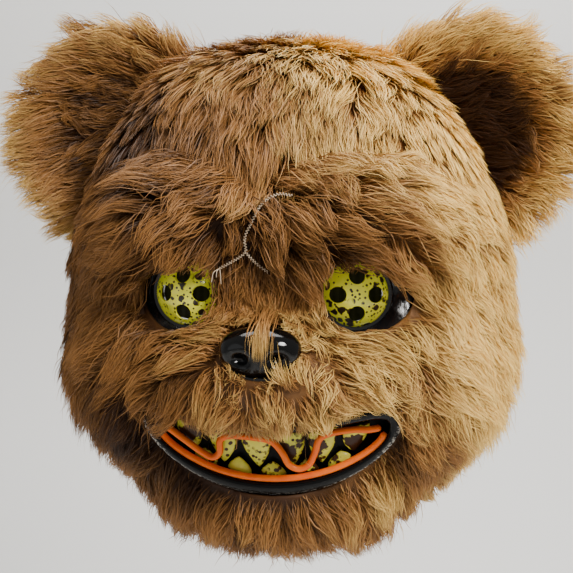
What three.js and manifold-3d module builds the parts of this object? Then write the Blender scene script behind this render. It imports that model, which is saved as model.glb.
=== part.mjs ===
// A furry bear mask that covers the face and the crown and is held on by an elastic band.
// A moulded black plastic face carries glued-on plush panels, two stuffed ears, domed eyes, a nose and a toothed mouth.
// Millimetres, +Z up. The face looks along -Y, with +X on the viewer's right. The origin is the middle of the inside
// of the crown, where the mask rests on the wearer's head.

import * as THREE from "three";
import { mergeVertices } from "three/addons/utils/BufferGeometryUtils.js";
import Module from "manifold-3d";

const wasm = await Module();
wasm.setup();

// The moulded face, from the middle of the head to the outside of the plastic
const faceHalfWidth = 127;
const crownRise = 146;
const chinDrop = 142;
const faceDepth = 112;
const templeReach = 190;
const boxiness = 2.35;
const shellWall = 2.5;

// How far round from straight ahead the open back's rim lies, in degrees
const crownRimAngle = 118;
const sideRimAngle = 104;
const chinRimAngle = 74;

// Gap between pieces that are glued together
const fitGap = 0.35;

// The plush: its cloth with the packed roots of the pile, and the locks that the long pile falls into
const plushWall = 3;
const seamGap = 0.6;
const lockLength = 42;
const lockWidth = 29;
const lockThickness = 10;
const lockPitch = 38;
const lockBury = 1.6;
const chinFringe = 9;
const lockLift = 0.22;
const lockHang = 0.42;
const lockMiddle = 0.3;
const lockCore = 2;
const earLockLength = 22;
const earLockWidth = 26;
const earLockThickness = 6.5;

// Eyes
const eyeRadius = 17.8;
const eyeOut = 45;
const eyeUp = 5;
const eyeTurn = 9;
const domeRadius = 21;
const lensWall = 1.8;
const lensSkirt = 3.4;
const collarWall = 3;
const collarForward = 6;
const collarBack = 10;
const socketShift = 6;
const eyeLedge = 2.5;
const viewHoleRadius = 4.5;
const viewHoleRing = 10.3;
const gauzeThickness = 0.8;

// Nose
const noseHalfWidth = 20;
const noseHalfHeight = 13.5;
const noseHalfDepth = 12;
const noseUp = -25;
const nostrilRadius = 5.2;

// Mouth: an oval bent into a grin, leaning forward at the top under the snout
const mouthHalfWidth = 68;
const mouthHalfHeight = 18;
const mouthUp = -85;
const grin = 20;
const mouthLean = 10;
const lipHalfWidth = 3.6;
const lipFront = 4.5;
const lipBack = 7;
const mouthPlateWall = 2;
const toothThickness = 5;
const tubeRadius = 1.6;
const tubeInset = 1;

// Ears
const earHalfChord = 63;
const earHeight = 73;
const earRoot = 26;
const earThickness = 15;
const earCup = 17;
const earBaseOut = 99;
const earBaseUp = 94;
const earSlant = 50;
const earBack = 4;

// Elastic band round the back of the head, and over the crown
const strapWidth = 25;
const strapWall = 1.6;
const strapReach = 98;
const strapUp = 6;
const strapOverlap = 16;

const degree = Math.PI / 180;
const headCentre = new THREE.Vector3(0, 0, shellWall - crownRise);

// The face's swellings and hollows, as shares of faceHalfWidth (across, wide), crownRise (up, tall) and faceDepth (out).
// A row with an across has a twin on the other side.
const swellings = [
  { name: "brow", across: 0.42, up: 0.31, wide: 0.37, tall: 0.16, out: 0.24 },
  { name: "eye socket", across: 0.36, up: 0.03, wide: 0.22, tall: 0.15, out: -0.08 },
  { name: "snout", across: 0, up: -0.27, wide: 0.46, tall: 0.21, out: 0.44 },
  { name: "cheek", across: 0.72, up: -0.3, wide: 0.28, tall: 0.27, out: 0.13 },
  { name: "chin", across: 0, up: -0.82, wide: 0.52, tall: 0.2, out: 0.26 },
];

// Outlines of the plush panels seen from the front: ovals in the same shares
const panelOvals = {
  brow_fur_right: { across: 0.34, up: 0.34, wide: 0.43, tall: 0.2 },
  brow_fur_left: { across: -0.43, up: 0.34, wide: 0.39, tall: 0.2 },
  muzzle_fur: { across: 0, up: -0.16, wide: 0.59, tall: 0.41 },
  chin_fur: { across: 0, up: -0.86, wide: 0.74, tall: 0.36 },
};

// Materials

const plasticBlack = new THREE.MeshStandardMaterial({ color: 0x0b0b0d, roughness: 0.18, metalness: 0 });
const pileBrown = new THREE.MeshStandardMaterial({ color: 0xa87b4c, roughness: 0.85, metalness: 0 });
const limePrint = new THREE.MeshStandardMaterial({ color: 0xc9c63a, roughness: 0.2, metalness: 0 });
const toothYellow = new THREE.MeshStandardMaterial({ color: 0xcdc548, roughness: 0.35, metalness: 0 });
const tubeOrange = new THREE.MeshStandardMaterial({ color: 0xe8681c, roughness: 0.4, metalness: 0 });
const gauzeBlack = new THREE.MeshStandardMaterial({ color: 0x101012, roughness: 0.9, metalness: 0 });
const elasticBlack = new THREE.MeshStandardMaterial({ color: 0x1a1a1c, roughness: 0.9, metalness: 0 });

// Solids from points

const weldDistance = 1e-4;

function apart(p, q) {
  return p.distanceToSquared(q) > weldDistance * weldDistance;
}

// A closed triangle list as a solid, turned to face outwards.
function solidFromCorners(corners) {
  let volume = 0;
  for (let i = 0; i < corners.length; i += 3) {
    volume += corners[i].dot(new THREE.Vector3().crossVectors(corners[i + 1], corners[i + 2]));
  }
  if (volume < 0) {
    for (let i = 0; i < corners.length; i += 3) {
      [corners[i + 1], corners[i + 2]] = [corners[i + 2], corners[i + 1]];
    }
  }
  const geometry = new THREE.BufferGeometry().setFromPoints(corners);
  const merged = mergeVertices(geometry, weldDistance);
  return new wasm.Manifold(
    new wasm.Mesh({
      numProp: 3,
      vertProperties: merged.attributes.position.array,
      triVerts: new Uint32Array(merged.index.array),
    }),
  );
}

// Joins columns of points all the way round, each four-sided patch split along its shorter diagonal. A column either starts and ends on points that every
// column shares or, with loops, runs back to its own start.
function joinColumns(columns, loops = false) {
  const rows = columns[0].length;
  const steps = loops ? rows : rows - 1;
  const corners = [];
  columns.forEach((column, index) => {
    const next = columns[(index + 1) % columns.length];
    for (let row = 0; row < steps; row += 1) {
      const above = (row + 1) % rows;
      const quad = [column[row], column[above], next[above], next[row]];
      const first = quad[0].distanceTo(quad[2]) <= quad[1].distanceTo(quad[3]) ? 0 : 1;
      for (const [a, b, c] of [[0, 1, 2], [0, 2, 3]]) {
        const [p, q, r] = [a, b, c].map((place) => quad[(place + first) % 4]);
        if (apart(p, q) && apart(q, r) && apart(r, p)) corners.push(p, q, r);
      }
    }
  });
  return solidFromCorners(corners);
}

// A three.js geometry as a solid, after a placing matrix.
function solidFromGeometry(geometry, matrix = new THREE.Matrix4()) {
  const bare = (geometry.index ? geometry.toNonIndexed() : geometry).applyMatrix4(matrix);
  const at = bare.getAttribute("position");
  const corners = [];
  for (let i = 0; i < at.count; i += 3) {
    const triangle = [0, 1, 2].map((k) => new THREE.Vector3().fromBufferAttribute(at, i + k));
    const [p, q, r] = triangle;
    if (apart(p, q) && apart(q, r) && apart(r, p)) corners.push(...triangle);
  }
  return solidFromCorners(corners);
}

function meshFromSolid(name, solid, material) {
  const { numProp, vertProperties, triVerts } = solid.getMesh();
  const count = vertProperties.length / numProp;
  const positions = new Float32Array(count * 3);
  for (let i = 0; i < count; i += 1) {
    positions.set(vertProperties.subarray(i * numProp, i * numProp + 3), i * 3);
  }
  const geometry = new THREE.BufferGeometry();
  geometry.setAttribute("position", new THREE.BufferAttribute(positions, 3));
  geometry.setIndex(new THREE.BufferAttribute(new Uint32Array(triVerts), 1));
  geometry.computeVertexNormals();
  const mesh = new THREE.Mesh(geometry, material);
  mesh.name = name;
  return mesh;
}

// What is left of a trimmed piece, without crumbs that a cut has parted from it.
function mainBody(solid) {
  return solid.decompose().reduce((best, body) => (body.volume() > best.volume() ? body : best));
}

// The form of the face

function bell(offset, width) {
  return Math.exp(-((offset / width) ** 2));
}

// How far the swellings push the face forward at a place seen from the front.
function forwardAt(x, up) {
  let forward = 0;
  for (const { across, up: rise, wide, tall, out } of swellings) {
    const sides = across === 0 ? [0] : [-across, across];
    for (const side of sides) {
      const sideways = bell(x - side * faceHalfWidth, wide * faceHalfWidth);
      forward += out * faceDepth * sideways * bell(up - rise * crownRise, tall * crownRise);
    }
  }
  return forward;
}

function roundedBoxTerm(length, reach) {
  return Math.abs(length / reach) ** boxiness;
}

// The outside of the plastic along a direction from the head's centre.
function facePoint(aim) {
  const rise = aim.z > 0 ? crownRise : chinDrop;
  const depth = aim.y < 0 ? faceDepth : templeReach;
  const sum = roundedBoxTerm(aim.x, faceHalfWidth) + roundedBoxTerm(aim.y, depth) + roundedBoxTerm(aim.z, rise);
  const point = aim.clone().multiplyScalar(sum ** (-1 / boxiness));
  const frontness = THREE.MathUtils.smoothstep(-aim.y, -0.05, 0.45);
  point.y -= forwardAt(point.x, point.z) * frontness;
  return point.add(headCentre);
}

// The direction from the head's centre to the place on the face that is seen at x and up from the front.
function aimAt(x, up) {
  const rise = up > 0 ? crownRise : chinDrop;
  const left = 1 - roundedBoxTerm(x, faceHalfWidth) - roundedBoxTerm(up, rise);
  const deep = faceDepth * Math.max(left, 0) ** (1 / boxiness);
  return new THREE.Vector3(x, -deep, up).normalize();
}

const probe = 0.012;

function faceNormal(aim) {
  const helper = Math.abs(aim.z) < 0.9 ? new THREE.Vector3(0, 0, 1) : new THREE.Vector3(1, 0, 0);
  const first = new THREE.Vector3().crossVectors(aim, helper).normalize();
  const second = new THREE.Vector3().crossVectors(aim, first);
  const step = (direction) => {
    const ahead = facePoint(aim.clone().addScaledVector(direction, probe).normalize());
    const behind = facePoint(aim.clone().addScaledVector(direction, -probe).normalize());
    return ahead.sub(behind);
  };
  return new THREE.Vector3().crossVectors(step(first), step(second)).normalize();
}

function offFace(aim, height) {
  return facePoint(aim).addScaledVector(faceNormal(aim), height);
}

// Angles round the forward axis start at the crown and run towards +X.
function rimAngle(turn) {
  const mean = (crownRimAngle + chinRimAngle + 2 * sideRimAngle) / 4;
  const tilt = (crownRimAngle - chinRimAngle) / 2;
  const pinch = (crownRimAngle + chinRimAngle - 2 * sideRimAngle) / 4;
  return (mean + tilt * Math.cos(turn) + pinch * Math.cos(2 * turn)) * degree;
}

function aimFrom(polar, turn) {
  return new THREE.Vector3(
    Math.sin(polar) * Math.sin(turn),
    -Math.cos(polar),
    Math.sin(polar) * Math.cos(turn),
  );
}

const faceRows = 10;
const faceColumns = 22;

// Rows of aims from straight ahead to the rim, one column for each turn.
const faceAims = Array.from({ length: faceColumns }, (_, column) => {
  const turn = (2 * Math.PI * column) / faceColumns;
  return Array.from({ length: faceRows + 1 }, (_, row) =>
    aimFrom((rimAngle(turn) * row) / faceRows, turn),
  );
});

// A wall over the whole face between two heights off the plastic's outside.
function faceWall(low, high) {
  return joinColumns(
    faceAims.map((aims) => [
      ...aims.map((aim) => offFace(aim, high)),
      ...aims.map((aim) => offFace(aim, low)).reverse(),
    ]),
  );
}

// All that lies inside a height off the plastic, back to the head's centre.
function faceCore(height) {
  return joinColumns(
    faceAims.map((aims) => [...aims.map((aim) => offFace(aim, height)), headCentre.clone()]),
  );
}

const cutterReach = 320;
const ovalSides = 18;

// A prism along Y over an outline seen from the front, made of x and z pairs.
function frontPrism(outline) {
  const shape = new THREE.Shape(outline.map(([x, z]) => new THREE.Vector2(x, z)));
  const geometry = new THREE.ExtrudeGeometry(shape, { depth: cutterReach, bevelEnabled: false });
  return solidFromGeometry(geometry, new THREE.Matrix4().makeRotationX(Math.PI / 2));
}

// The mouth

const mouthSquareness = 2.5;
const lipSteps = 24;

function powerOf(value, exponent) {
  return Math.sign(value) * Math.abs(value) ** exponent;
}

// Round the mouth's oval, grown by an extra: across, and above its own bent middle line.
function mouthOval(angle, extra) {
  return [
    (mouthHalfWidth + extra) * powerOf(Math.cos(angle), 2 / mouthSquareness),
    (mouthHalfHeight + extra) * powerOf(Math.sin(angle), 2 / mouthSquareness),
  ];
}

function mouthMiddleUp(x) {
  return mouthUp + grin * (x / mouthHalfWidth) ** 2;
}

const jawFront = facePoint(aimAt(0, mouthUp - mouthHalfHeight)).y;
const cornerFront = facePoint(aimAt(mouthHalfWidth, mouthUp + grin)).y;

// The oval's own height above or below its middle line at a place across.
function mouthRoom(x) {
  return mouthHalfHeight * (1 - Math.abs(x / mouthHalfWidth) ** mouthSquareness) ** (1 / mouthSquareness);
}

// A place in the mouth: across, above the middle line, and inward from the lips' own surface.
function mouthPoint(x, above, inward) {
  const bow = (cornerFront - jawFront) * (x / mouthHalfWidth) ** 2;
  const lean = mouthLean * ((above + mouthHalfHeight) / (2 * mouthHalfHeight));
  return new THREE.Vector3(x, jawFront + bow - lean + inward, headCentre.z + mouthMiddleUp(x) + above);
}

function ovalAngles(steps) {
  return Array.from({ length: steps }, (_, step) => (2 * Math.PI * step) / steps);
}

function mouthRim() {
  const section = [
    { extra: lipHalfWidth, inward: lipBack },
    { extra: lipHalfWidth, inward: -lipFront * 0.45 },
    { extra: 0, inward: -lipFront },
    { extra: -lipHalfWidth, inward: -lipFront * 0.45 },
    { extra: -lipHalfWidth, inward: lipBack },
  ];
  const columns = ovalAngles(lipSteps).map((angle) =>
    section.map(({ extra, inward }) => mouthPoint(...mouthOval(angle, extra), inward)),
  );
  return joinColumns(columns, true);
}

// A filled oval between two depths, such as the plate behind the teeth or the room that the whole mouth takes up.
function mouthSlab(extra, front, back) {
  const columns = ovalAngles(lipSteps).map((angle) => {
    const [x, above] = mouthOval(angle, extra);
    return [
      mouthPoint(0, 0, front),
      mouthPoint(x / 2, above / 2, front),
      mouthPoint(x, above, front),
      mouthPoint(x, above, back),
      mouthPoint(x / 2, above / 2, back),
      mouthPoint(0, 0, back),
    ];
  });
  return joinColumns(columns);
}

function mouthOpening(extra) {
  return frontPrism(
    ovalAngles(lipSteps).map((angle) => {
      const [x, above] = mouthOval(angle, extra);
      return [x, headCentre.z + mouthMiddleUp(x) + above];
    }),
  );
}

// Teeth stand on the plate. Across and lengths are shares of mouthHalfWidth and mouthHalfHeight.
const upperTeeth = [
  { across: -0.68, half: 0.11, length: 0.85, lean: 0.02 },
  { across: -0.4, half: 0.115, length: 1.1, lean: 0.01 },
  { across: -0.13, half: 0.12, length: 1.12, lean: 0.03 },
  { across: 0.15, half: 0.12, length: 1.1, lean: 0.02 },
  { across: 0.42, half: 0.115, length: 1.05, lean: -0.01 },
  { across: 0.69, half: 0.11, length: 0.8, lean: -0.02 },
];
const lowerTeeth = [
  { across: -0.54, half: 0.1, length: 0.48, lean: 0 },
  { across: -0.265, half: 0.1, length: 0.6, lean: 0 },
  { across: 0.01, half: 0.11, length: 0.58, lean: 0 },
  { across: 0.285, half: 0.1, length: 0.56, lean: 0 },
  { across: 0.555, half: 0.1, length: 0.45, lean: 0 },
];

const toothSides = 6;

// A flattened fang: rings from its gum to its rounded point.
function tooth({ across, half, length, lean }, direction) {
  const outerEdge = (Math.abs(across) + half) * mouthHalfWidth;
  const gum = direction * (mouthRoom(outerEdge) - lipHalfWidth - 2 * fitGap);
  const stages = [
    { along: 0, width: 0.94, depth: 0.9 },
    { along: 0.35, width: 1, depth: 1 },
    { along: 0.85, width: 0.5, depth: 0.6 },
  ];
  const middle = lipBack - toothThickness / 2;
  const place = (along, sideways, inward) =>
    mouthPoint(
      (across + lean * along) * mouthHalfWidth + sideways,
      gum - direction * along * length * mouthHalfHeight,
      middle + inward,
    );
  const columns = Array.from({ length: toothSides }, (_, side) => {
    const angle = (2 * Math.PI * side) / toothSides;
    const ring = stages.map(({ along, width, depth }) =>
      place(
        along,
        width * half * mouthHalfWidth * Math.cos(angle),
        (depth * toothThickness * Math.sin(angle)) / 2,
      ),
    );
    return [place(0, 0, 0), ...ring, place(1, 0, 0)];
  });
  return joinColumns(columns);
}

const tubeSides = 6;

// A round tube through points chosen along its route.
function tubeAlong(points, steps) {
  const path = new THREE.CatmullRomCurve3(points);
  const shape = new THREE.Shape();
  for (let side = 0; side < tubeSides; side += 1) {
    const angle = (2 * Math.PI * side) / tubeSides;
    const corner = [tubeRadius * Math.cos(angle), tubeRadius * Math.sin(angle)];
    if (side === 0) shape.moveTo(...corner);
    else shape.lineTo(...corner);
  }
  return solidFromGeometry(new THREE.ExtrudeGeometry(shape, { steps, bevelEnabled: false, extrudePath: path }));
}

const lipTubeInset = lipHalfWidth + tubeRadius + 2 * fitGap;
const lipTubeSteps = 12;

// The tube that lines the lower lip, from one corner to the other.
function lipTube() {
  const points = Array.from({ length: lipTubeSteps + 1 }, (_, step) => {
    const angle = Math.PI * (1.05 + (0.9 * step) / lipTubeSteps);
    return mouthPoint(...mouthOval(angle, -lipTubeInset), -tubeInset);
  });
  return tubeAlong(points, 16);
}

// The laced tube: shares of mouthHalfWidth across, and of the room above the lip tube, from its own top to the upper lip.
const lacing = [
  [-0.86, 0.5],
  [-0.72, 0.3],
  [-0.56, 0.12],
  [-0.47, 0.1],
  [-0.41, 0.35],
  [-0.4, 0.75],
  [-0.3, 0.95],
  [-0.1, 1],
  [0.02, 0.88],
  [0.1, 0.55],
  [0.15, 0.2],
  [0.23, 0],
  [0.31, 0.12],
  [0.36, 0.45],
  [0.4, 0.85],
  [0.5, 1],
  [0.66, 0.93],
  [0.78, 0.75],
  [0.86, 0.62],
];

function lacingTube() {
  const points = lacing.map(([across, share]) => {
    const x = across * mouthHalfWidth;
    const room = mouthRoom(x);
    const bottom = lipTubeInset + 2 * tubeRadius + fitGap - room;
    const top = room - lipHalfWidth - tubeRadius - fitGap;
    return mouthPoint(x, bottom + (top - bottom) * share, -tubeInset);
  });
  return tubeAlong(points, 32);
}

// Eyes

const eyeBoreRadius = eyeRadius - eyeLedge;
const roundSides = 16;

// The eye's own frame: +Y out of the face along its axis, from the middle of its seat.
function eyeFrame(side) {
  const aim = aimAt(side * eyeOut, eyeUp);
  const axis = new THREE.Vector3(side * Math.sin(eyeTurn * degree), -Math.cos(eyeTurn * degree), 0);
  const turn = new THREE.Quaternion().setFromUnitVectors(new THREE.Vector3(0, 1, 0), axis);
  return new THREE.Matrix4().compose(facePoint(aim), turn, new THREE.Vector3(1, 1, 1));
}

function rodAlongY(radius, low, high, sides = roundSides) {
  return new THREE.CylinderGeometry(radius, radius, high - low, sides).translate(0, (low + high) / 2, 0);
}

const lensSeat = collarForward - lensSkirt;

function eyeCollar(side, grow = 0) {
  const rod = rodAlongY(eyeRadius + collarWall + grow, -collarBack - grow, collarForward + grow);
  return solidFromGeometry(rod, eyeFrame(side));
}

// The stepped hole that the lens drops into from the front.
function eyeHole(side) {
  const frame = eyeFrame(side);
  const seat = solidFromGeometry(rodAlongY(eyeRadius + fitGap, lensSeat, cutterReach / 4), frame);
  return seat.add(solidFromGeometry(rodAlongY(eyeBoreRadius, -3 * collarBack, lensSeat + 1), frame));
}

// The plush leaves the socket bare round an eye, most of all on its outer side.
function socketClearance(side) {
  const across = side * (eyeOut + socketShift);
  return frontPrism(
    ovalAngles(ovalSides).map((angle) => [
      across + (eyeRadius + collarWall + socketShift) * Math.cos(angle),
      headCentre.z + eyeUp + (eyeRadius + collarWall) * Math.sin(angle),
    ]),
  );
}

const domeSteps = 2;

// A domed lens with a skirt, and four round view holes.
function eyeLens() {
  const sweep = Math.asin(eyeRadius / domeRadius);
  const domeCentre = collarForward - Math.sqrt(domeRadius ** 2 - eyeRadius ** 2);
  const innerRadius = domeRadius - lensWall;
  const arc = (radius, share) =>
    new THREE.Vector2(radius * Math.sin(sweep * share), domeCentre + radius * Math.cos(sweep * share));
  const shares = Array.from({ length: domeSteps + 1 }, (_, step) => step / domeSteps);
  const profile = [
    ...shares.map((share) => arc(domeRadius, share)),
    new THREE.Vector2(eyeRadius, lensSeat + fitGap),
    new THREE.Vector2(eyeRadius - lensWall, lensSeat + fitGap),
    ...shares.slice(0, -1).reverse().map((share) => arc(innerRadius, share)),
  ];
  let lens = solidFromGeometry(new THREE.LatheGeometry(profile, roundSides));
  for (let hole = 0; hole < 4; hole += 1) {
    const angle = (hole * Math.PI) / 2;
    const rod = rodAlongY(viewHoleRadius, 0, 2 * domeRadius, 8);
    rod.translate(viewHoleRing * Math.cos(angle), 0, viewHoleRing * Math.sin(angle));
    lens = lens.subtract(solidFromGeometry(rod));
  }
  return lens;
}

function eyeGauze() {
  const high = lensSeat - fitGap;
  return solidFromGeometry(rodAlongY(eyeBoreRadius - fitGap, high - gauzeThickness, high, 16));
}

// Nose

const noseAim = aimAt(0, noseUp);
const noseMiddle = offFace(noseAim, noseHalfDepth * 0.35);

// A rounded lump, broad above and narrow below, with room for growing it all round.
function noseLump(grow) {
  const ball = new THREE.SphereGeometry(1, 12, 8);
  const at = ball.getAttribute("position");
  for (let i = 0; i < at.count; i += 1) {
    const [x, y, z] = [at.getX(i), at.getY(i), at.getZ(i)];
    const taper = 1 + 0.22 * y;
    at.setXYZ(
      i,
      x * taper * (noseHalfWidth + grow),
      -z * (noseHalfDepth + grow),
      y * (noseHalfHeight + grow),
    );
  }
  return solidFromGeometry(ball, new THREE.Matrix4().setPosition(noseMiddle));
}

function nose() {
  let lump = noseLump(0);
  for (const side of [-1, 1]) {
    const place = new THREE.Matrix4().makeTranslation(
      noseMiddle.x + side * noseHalfWidth * 0.44,
      noseMiddle.y - noseHalfDepth * 0.86,
      noseMiddle.z - noseHalfHeight * 0.3,
    );
    lump = lump.subtract(solidFromGeometry(new THREE.SphereGeometry(nostrilRadius, 7, 5), place));
  }
  return mainBody(lump.subtract(faceCore(fitGap)));
}

// Plush

// A steady scatter between -1 and 1 for a numbered lock.
function scatter(number) {
  const wave = Math.sin(number * 12.9898) * 43758.5453;
  return 2 * (wave - Math.floor(wave)) - 1;
}

// A lock of pile: its heel and two shoulders are sunk in the cloth, and from its ridge it runs out to a point. Growing
// it about its middle makes the room that it needs in a neighbour.
function lock({ root, normal, comb, length, width, thickness }, grow) {
  const side = new THREE.Vector3().crossVectors(comb, normal).normalize();
  const swell = 1 + grow / lockCore;
  const at = (forward, sideways, height) =>
    root
      .clone()
      .addScaledVector(comb, length * (lockMiddle + (forward - lockMiddle) * swell))
      .addScaledVector(side, width * sideways * swell)
      .addScaledVector(normal, thickness * (lockMiddle + (height - lockMiddle) * swell) - lockBury);
  const [heel, point] = [at(-0.2, 0, 0), at(1, 0, 0.35)];
  const corners = [at(0.12, 0.5, -0.1), at(0.12, -0.5, -0.1), at(0.3, 0, 1.15)];
  return joinColumns(corners.map((corner) => [heel, corner, point]));
}

// The way that the pile is combed: sideways off the nose and down, and over the forehead forwards to the brow.
function combAt(point, normal) {
  const forehead = THREE.MathUtils.smoothstep(point.z - headCentre.z, crownRise * 0.42, crownRise * 0.62);
  const sideways = point.x / (Math.abs(point.x) + faceHalfWidth / 3);
  return leaned(new THREE.Vector3(sideways * (1 - forehead), 0.35 - 1.25 * forehead, -0.75), normal);
}

// Tips a direction until it leaves the surface by no less than the locks' lift and no more than their hang.
function leaned(direction, normal) {
  const comb = direction.normalize();
  const lift = comb.dot(normal);
  const along = comb.addScaledVector(normal, -lift).normalize();
  return along.addScaledVector(normal, THREE.MathUtils.clamp(lift, lockLift, lockHang)).normalize();
}

function faceRoot(polar, turn, number) {
  const aim = aimFrom(polar, turn);
  const normal = faceNormal(aim);
  const root = offFace(aim, fitGap + plushWall);
  const comb = combAt(root, normal);
  const sway = new THREE.Vector3().crossVectors(normal, comb);
  comb.addScaledVector(sway, 0.3 * scatter(number)).normalize();
  const length = lockLength * (1 + 0.15 * scatter(number + 0.5));
  return { root, normal, comb, length, width: lockWidth, thickness: lockThickness };
}

// Evenly spread roots over the whole face, and a row for the fringe that hangs from the chin's edge.
function faceRoots() {
  const roots = [];
  const meanReach = (faceHalfWidth + crownRise + chinDrop) / 3;
  const rowStep = lockPitch / meanReach;
  for (let polar = rowStep * 0.6; polar < crownRimAngle * degree; polar += rowStep) {
    const around = Math.max(6, Math.round((2 * Math.PI * meanReach * Math.sin(polar)) / lockPitch));
    for (let place = 0; place < around; place += 1) {
      const turn = (2 * Math.PI * (place + 0.5 * (roots.length % 2))) / around;
      if (polar < rimAngle(turn) - 0.35 * rowStep) roots.push(faceRoot(polar, turn, roots.length));
    }
  }
  for (let place = 0; place < chinFringe; place += 1) {
    const turn = Math.PI * (0.66 + (0.68 * place) / (chinFringe - 1));
    roots.push(faceRoot(rimAngle(turn) - 0.1 * rowStep, turn, roots.length));
  }
  return roots;
}

const allRoots = faceRoots();

function ovalSizes(name) {
  const { across, up, wide, tall } = panelOvals[name];
  return {
    x: across * faceHalfWidth,
    z: headCentre.z + up * crownRise,
    wide: wide * faceHalfWidth,
    tall: tall * crownRise,
  };
}

function inOval(point, name, margin = 0) {
  const oval = ovalSizes(name);
  const sideways = (point.x - oval.x) / (oval.wide + margin);
  const upwards = (point.z - oval.z) / (oval.tall + margin);
  return sideways ** 2 + upwards ** 2 < 1;
}

function ovalPrism(name, grow) {
  const oval = ovalSizes(name);
  return frontPrism(
    ovalAngles(ovalSides).map((angle) => [
      oval.x + (oval.wide + grow) * Math.cos(angle),
      oval.z + (oval.tall + grow) * Math.sin(angle),
    ]),
  );
}

// The first panel that a place belongs to. What no oval holds is the hood's.
const panelOrder = ["brow_fur_right", "brow_fur_left", "muzzle_fur", "chin_fur"];

function panelOf(point) {
  return panelOrder.find((name) => inOval(point, name)) ?? "hood_fur";
}

const plushCoat = faceWall(fitGap, fitGap + plushWall);

// One panel's cloth with its locks, before it is trimmed by what lies over it. Growing it gives the room that it needs.
function panelSolid(name, grow) {
  let cloth = grow === 0 ? plushCoat : faceWall(fitGap - grow, fitGap + plushWall + grow);
  if (name !== "hood_fur") cloth = cloth.intersect(ovalPrism(name, grow));
  for (const other of panelOrder) {
    if (other === name) break;
    cloth = cloth.subtract(ovalPrism(other, seamGap - grow));
  }
  const locks = allRoots
    .filter(({ root }) => panelOf(root) === name && !nearFeature(root))
    .map((root) => lock(root, grow));
  return wasm.Manifold.union([cloth, ...locks]);
}

// Places where no lock is rooted: on the eyes, the nose and the mouth, and under the ears.
function nearFeature(root) {
  const eye = [-1, 1].some((side) => {
    const middle = new THREE.Vector3().setFromMatrixPosition(eyeFrame(side));
    return Math.hypot(root.x - middle.x, root.z - middle.z) < eyeRadius + collarWall + lockWidth * 0.3;
  });
  const onNose = Math.hypot((root.x - noseMiddle.x) / noseHalfWidth, (root.z - noseMiddle.z) / noseHalfHeight) < 1.5;
  const above = root.z - headCentre.z - mouthMiddleUp(root.x);
  const acrossMouth = Math.abs(root.x) < mouthHalfWidth + lipHalfWidth;
  const onMouth = acrossMouth && above < mouthHalfHeight + lockLength / 2 && above > -mouthHalfHeight - lockWidth / 6;
  const underEar = [-1, 1].some((side) => {
    const local = root.clone().applyMatrix4(earFrame(side).invert());
    return Math.abs(local.x) < earHalfChord && Math.abs(local.z) < earThickness && local.y < earHeight;
  });
  return eye || onNose || onMouth || underEar;
}

// Ears

// An ear's own frame: X along its chord, Y out of the head and Z out of its cupped front.
function earFrame(side) {
  const slant = earSlant * degree;
  const out = new THREE.Vector3(side * Math.sin(slant), 0, Math.cos(slant));
  const front = new THREE.Vector3(0, -1, 0);
  const chord = new THREE.Vector3().crossVectors(out, front);
  const middle = new THREE.Vector3(side * earBaseOut, earBack, headCentre.z + earBaseUp);
  return new THREE.Matrix4().makeBasis(chord, out, front).setPosition(middle);
}

const earSides = 16;
const earSquareness = 2.3;

// Round an ear's outline: a broad dome above its chord and a short root below it.
function earOutline(angle, share) {
  const [c, s] = [Math.cos(angle), Math.sin(angle)];
  const height = s > 0 ? earHeight : earRoot;
  return [
    earHalfChord * powerOf(c, 2 / earSquareness) * share,
    height * powerOf(s, 2 / earSquareness) * share,
  ];
}

// How far forward the ear's middle layer stands at a share of the way to its edge.
function earForward(share) {
  return earCup * (share ** 2 - 0.55);
}

const earStages = [
  { share: 0, half: 0.42 },
  { share: 0.7, half: 0.5 },
  { share: 0.95, half: 0.34 },
];

function earPad(side, grow) {
  const columns = ovalAngles(earSides).map((angle) => {
    const surface = ({ share, half }, face) => {
      const [x, y] = earOutline(angle, share);
      return new THREE.Vector3(x, y, earForward(share) + face * (half * earThickness + grow));
    };
    const [x, y] = earOutline(angle, 1);
    const length = Math.hypot(x, y);
    const edge = new THREE.Vector3(x + (grow * x) / length, y + (grow * y) / length, earForward(1));
    return [
      ...earStages.map((stage) => surface(stage, 1)),
      edge,
      ...earStages.map((stage) => surface(stage, -1)).reverse(),
    ];
  });
  return joinColumns(columns);
}

// Each row of an ear's locks is scattered by its own run of seeds.
const seedsPerRow = 10;

// Rows of locks over an ear: the share of the way to its edge, the face that they are rooted on, and how they lie.
const earLockRows = [
  { share: 0.95, face: 0, count: 9, lift: 0.1 },
  { share: 0.8, face: 1, count: 6, lift: 0.5 },
  { share: 0.78, face: -1, count: 6, lift: 0.5 },
  { share: 0.35, face: -1, count: 3, lift: 0.4 },
];

function earLocks(grow) {
  return earLockRows.flatMap(({ share, face, count, lift }, row) =>
    Array.from({ length: count }, (_, place) => {
      const angle = Math.PI * (-0.06 + (1.12 * (place + 0.5)) / count);
      const [x, y] = earOutline(angle, share);
      const half = face * 0.46 * earThickness;
      const root = new THREE.Vector3(x, y, earForward(share) + half);
      const away = new THREE.Vector3(x, y + earRoot, 0).normalize();
      const normal = face === 0 ? new THREE.Vector3(0, 0, place % 2 ? 1 : -1) : new THREE.Vector3(0, 0, face);
      const comb = away.addScaledVector(normal, lift * 0.5).normalize();
      const twist = new THREE.Vector3(-comb.y, comb.x, 0);
      comb.addScaledVector(twist, 0.25 * scatter(row * seedsPerRow + place)).normalize();
      const size = { length: earLockLength, width: earLockWidth, thickness: earLockThickness };
      return lock({ root, normal, comb, ...size }, grow);
    }),
  );
}

function earSolid(side, grow) {
  const solid = wasm.Manifold.union([earPad(side, grow), ...earLocks(grow)]);
  return solid.transform(earFrame(side).toArray());
}

// Strap

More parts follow.
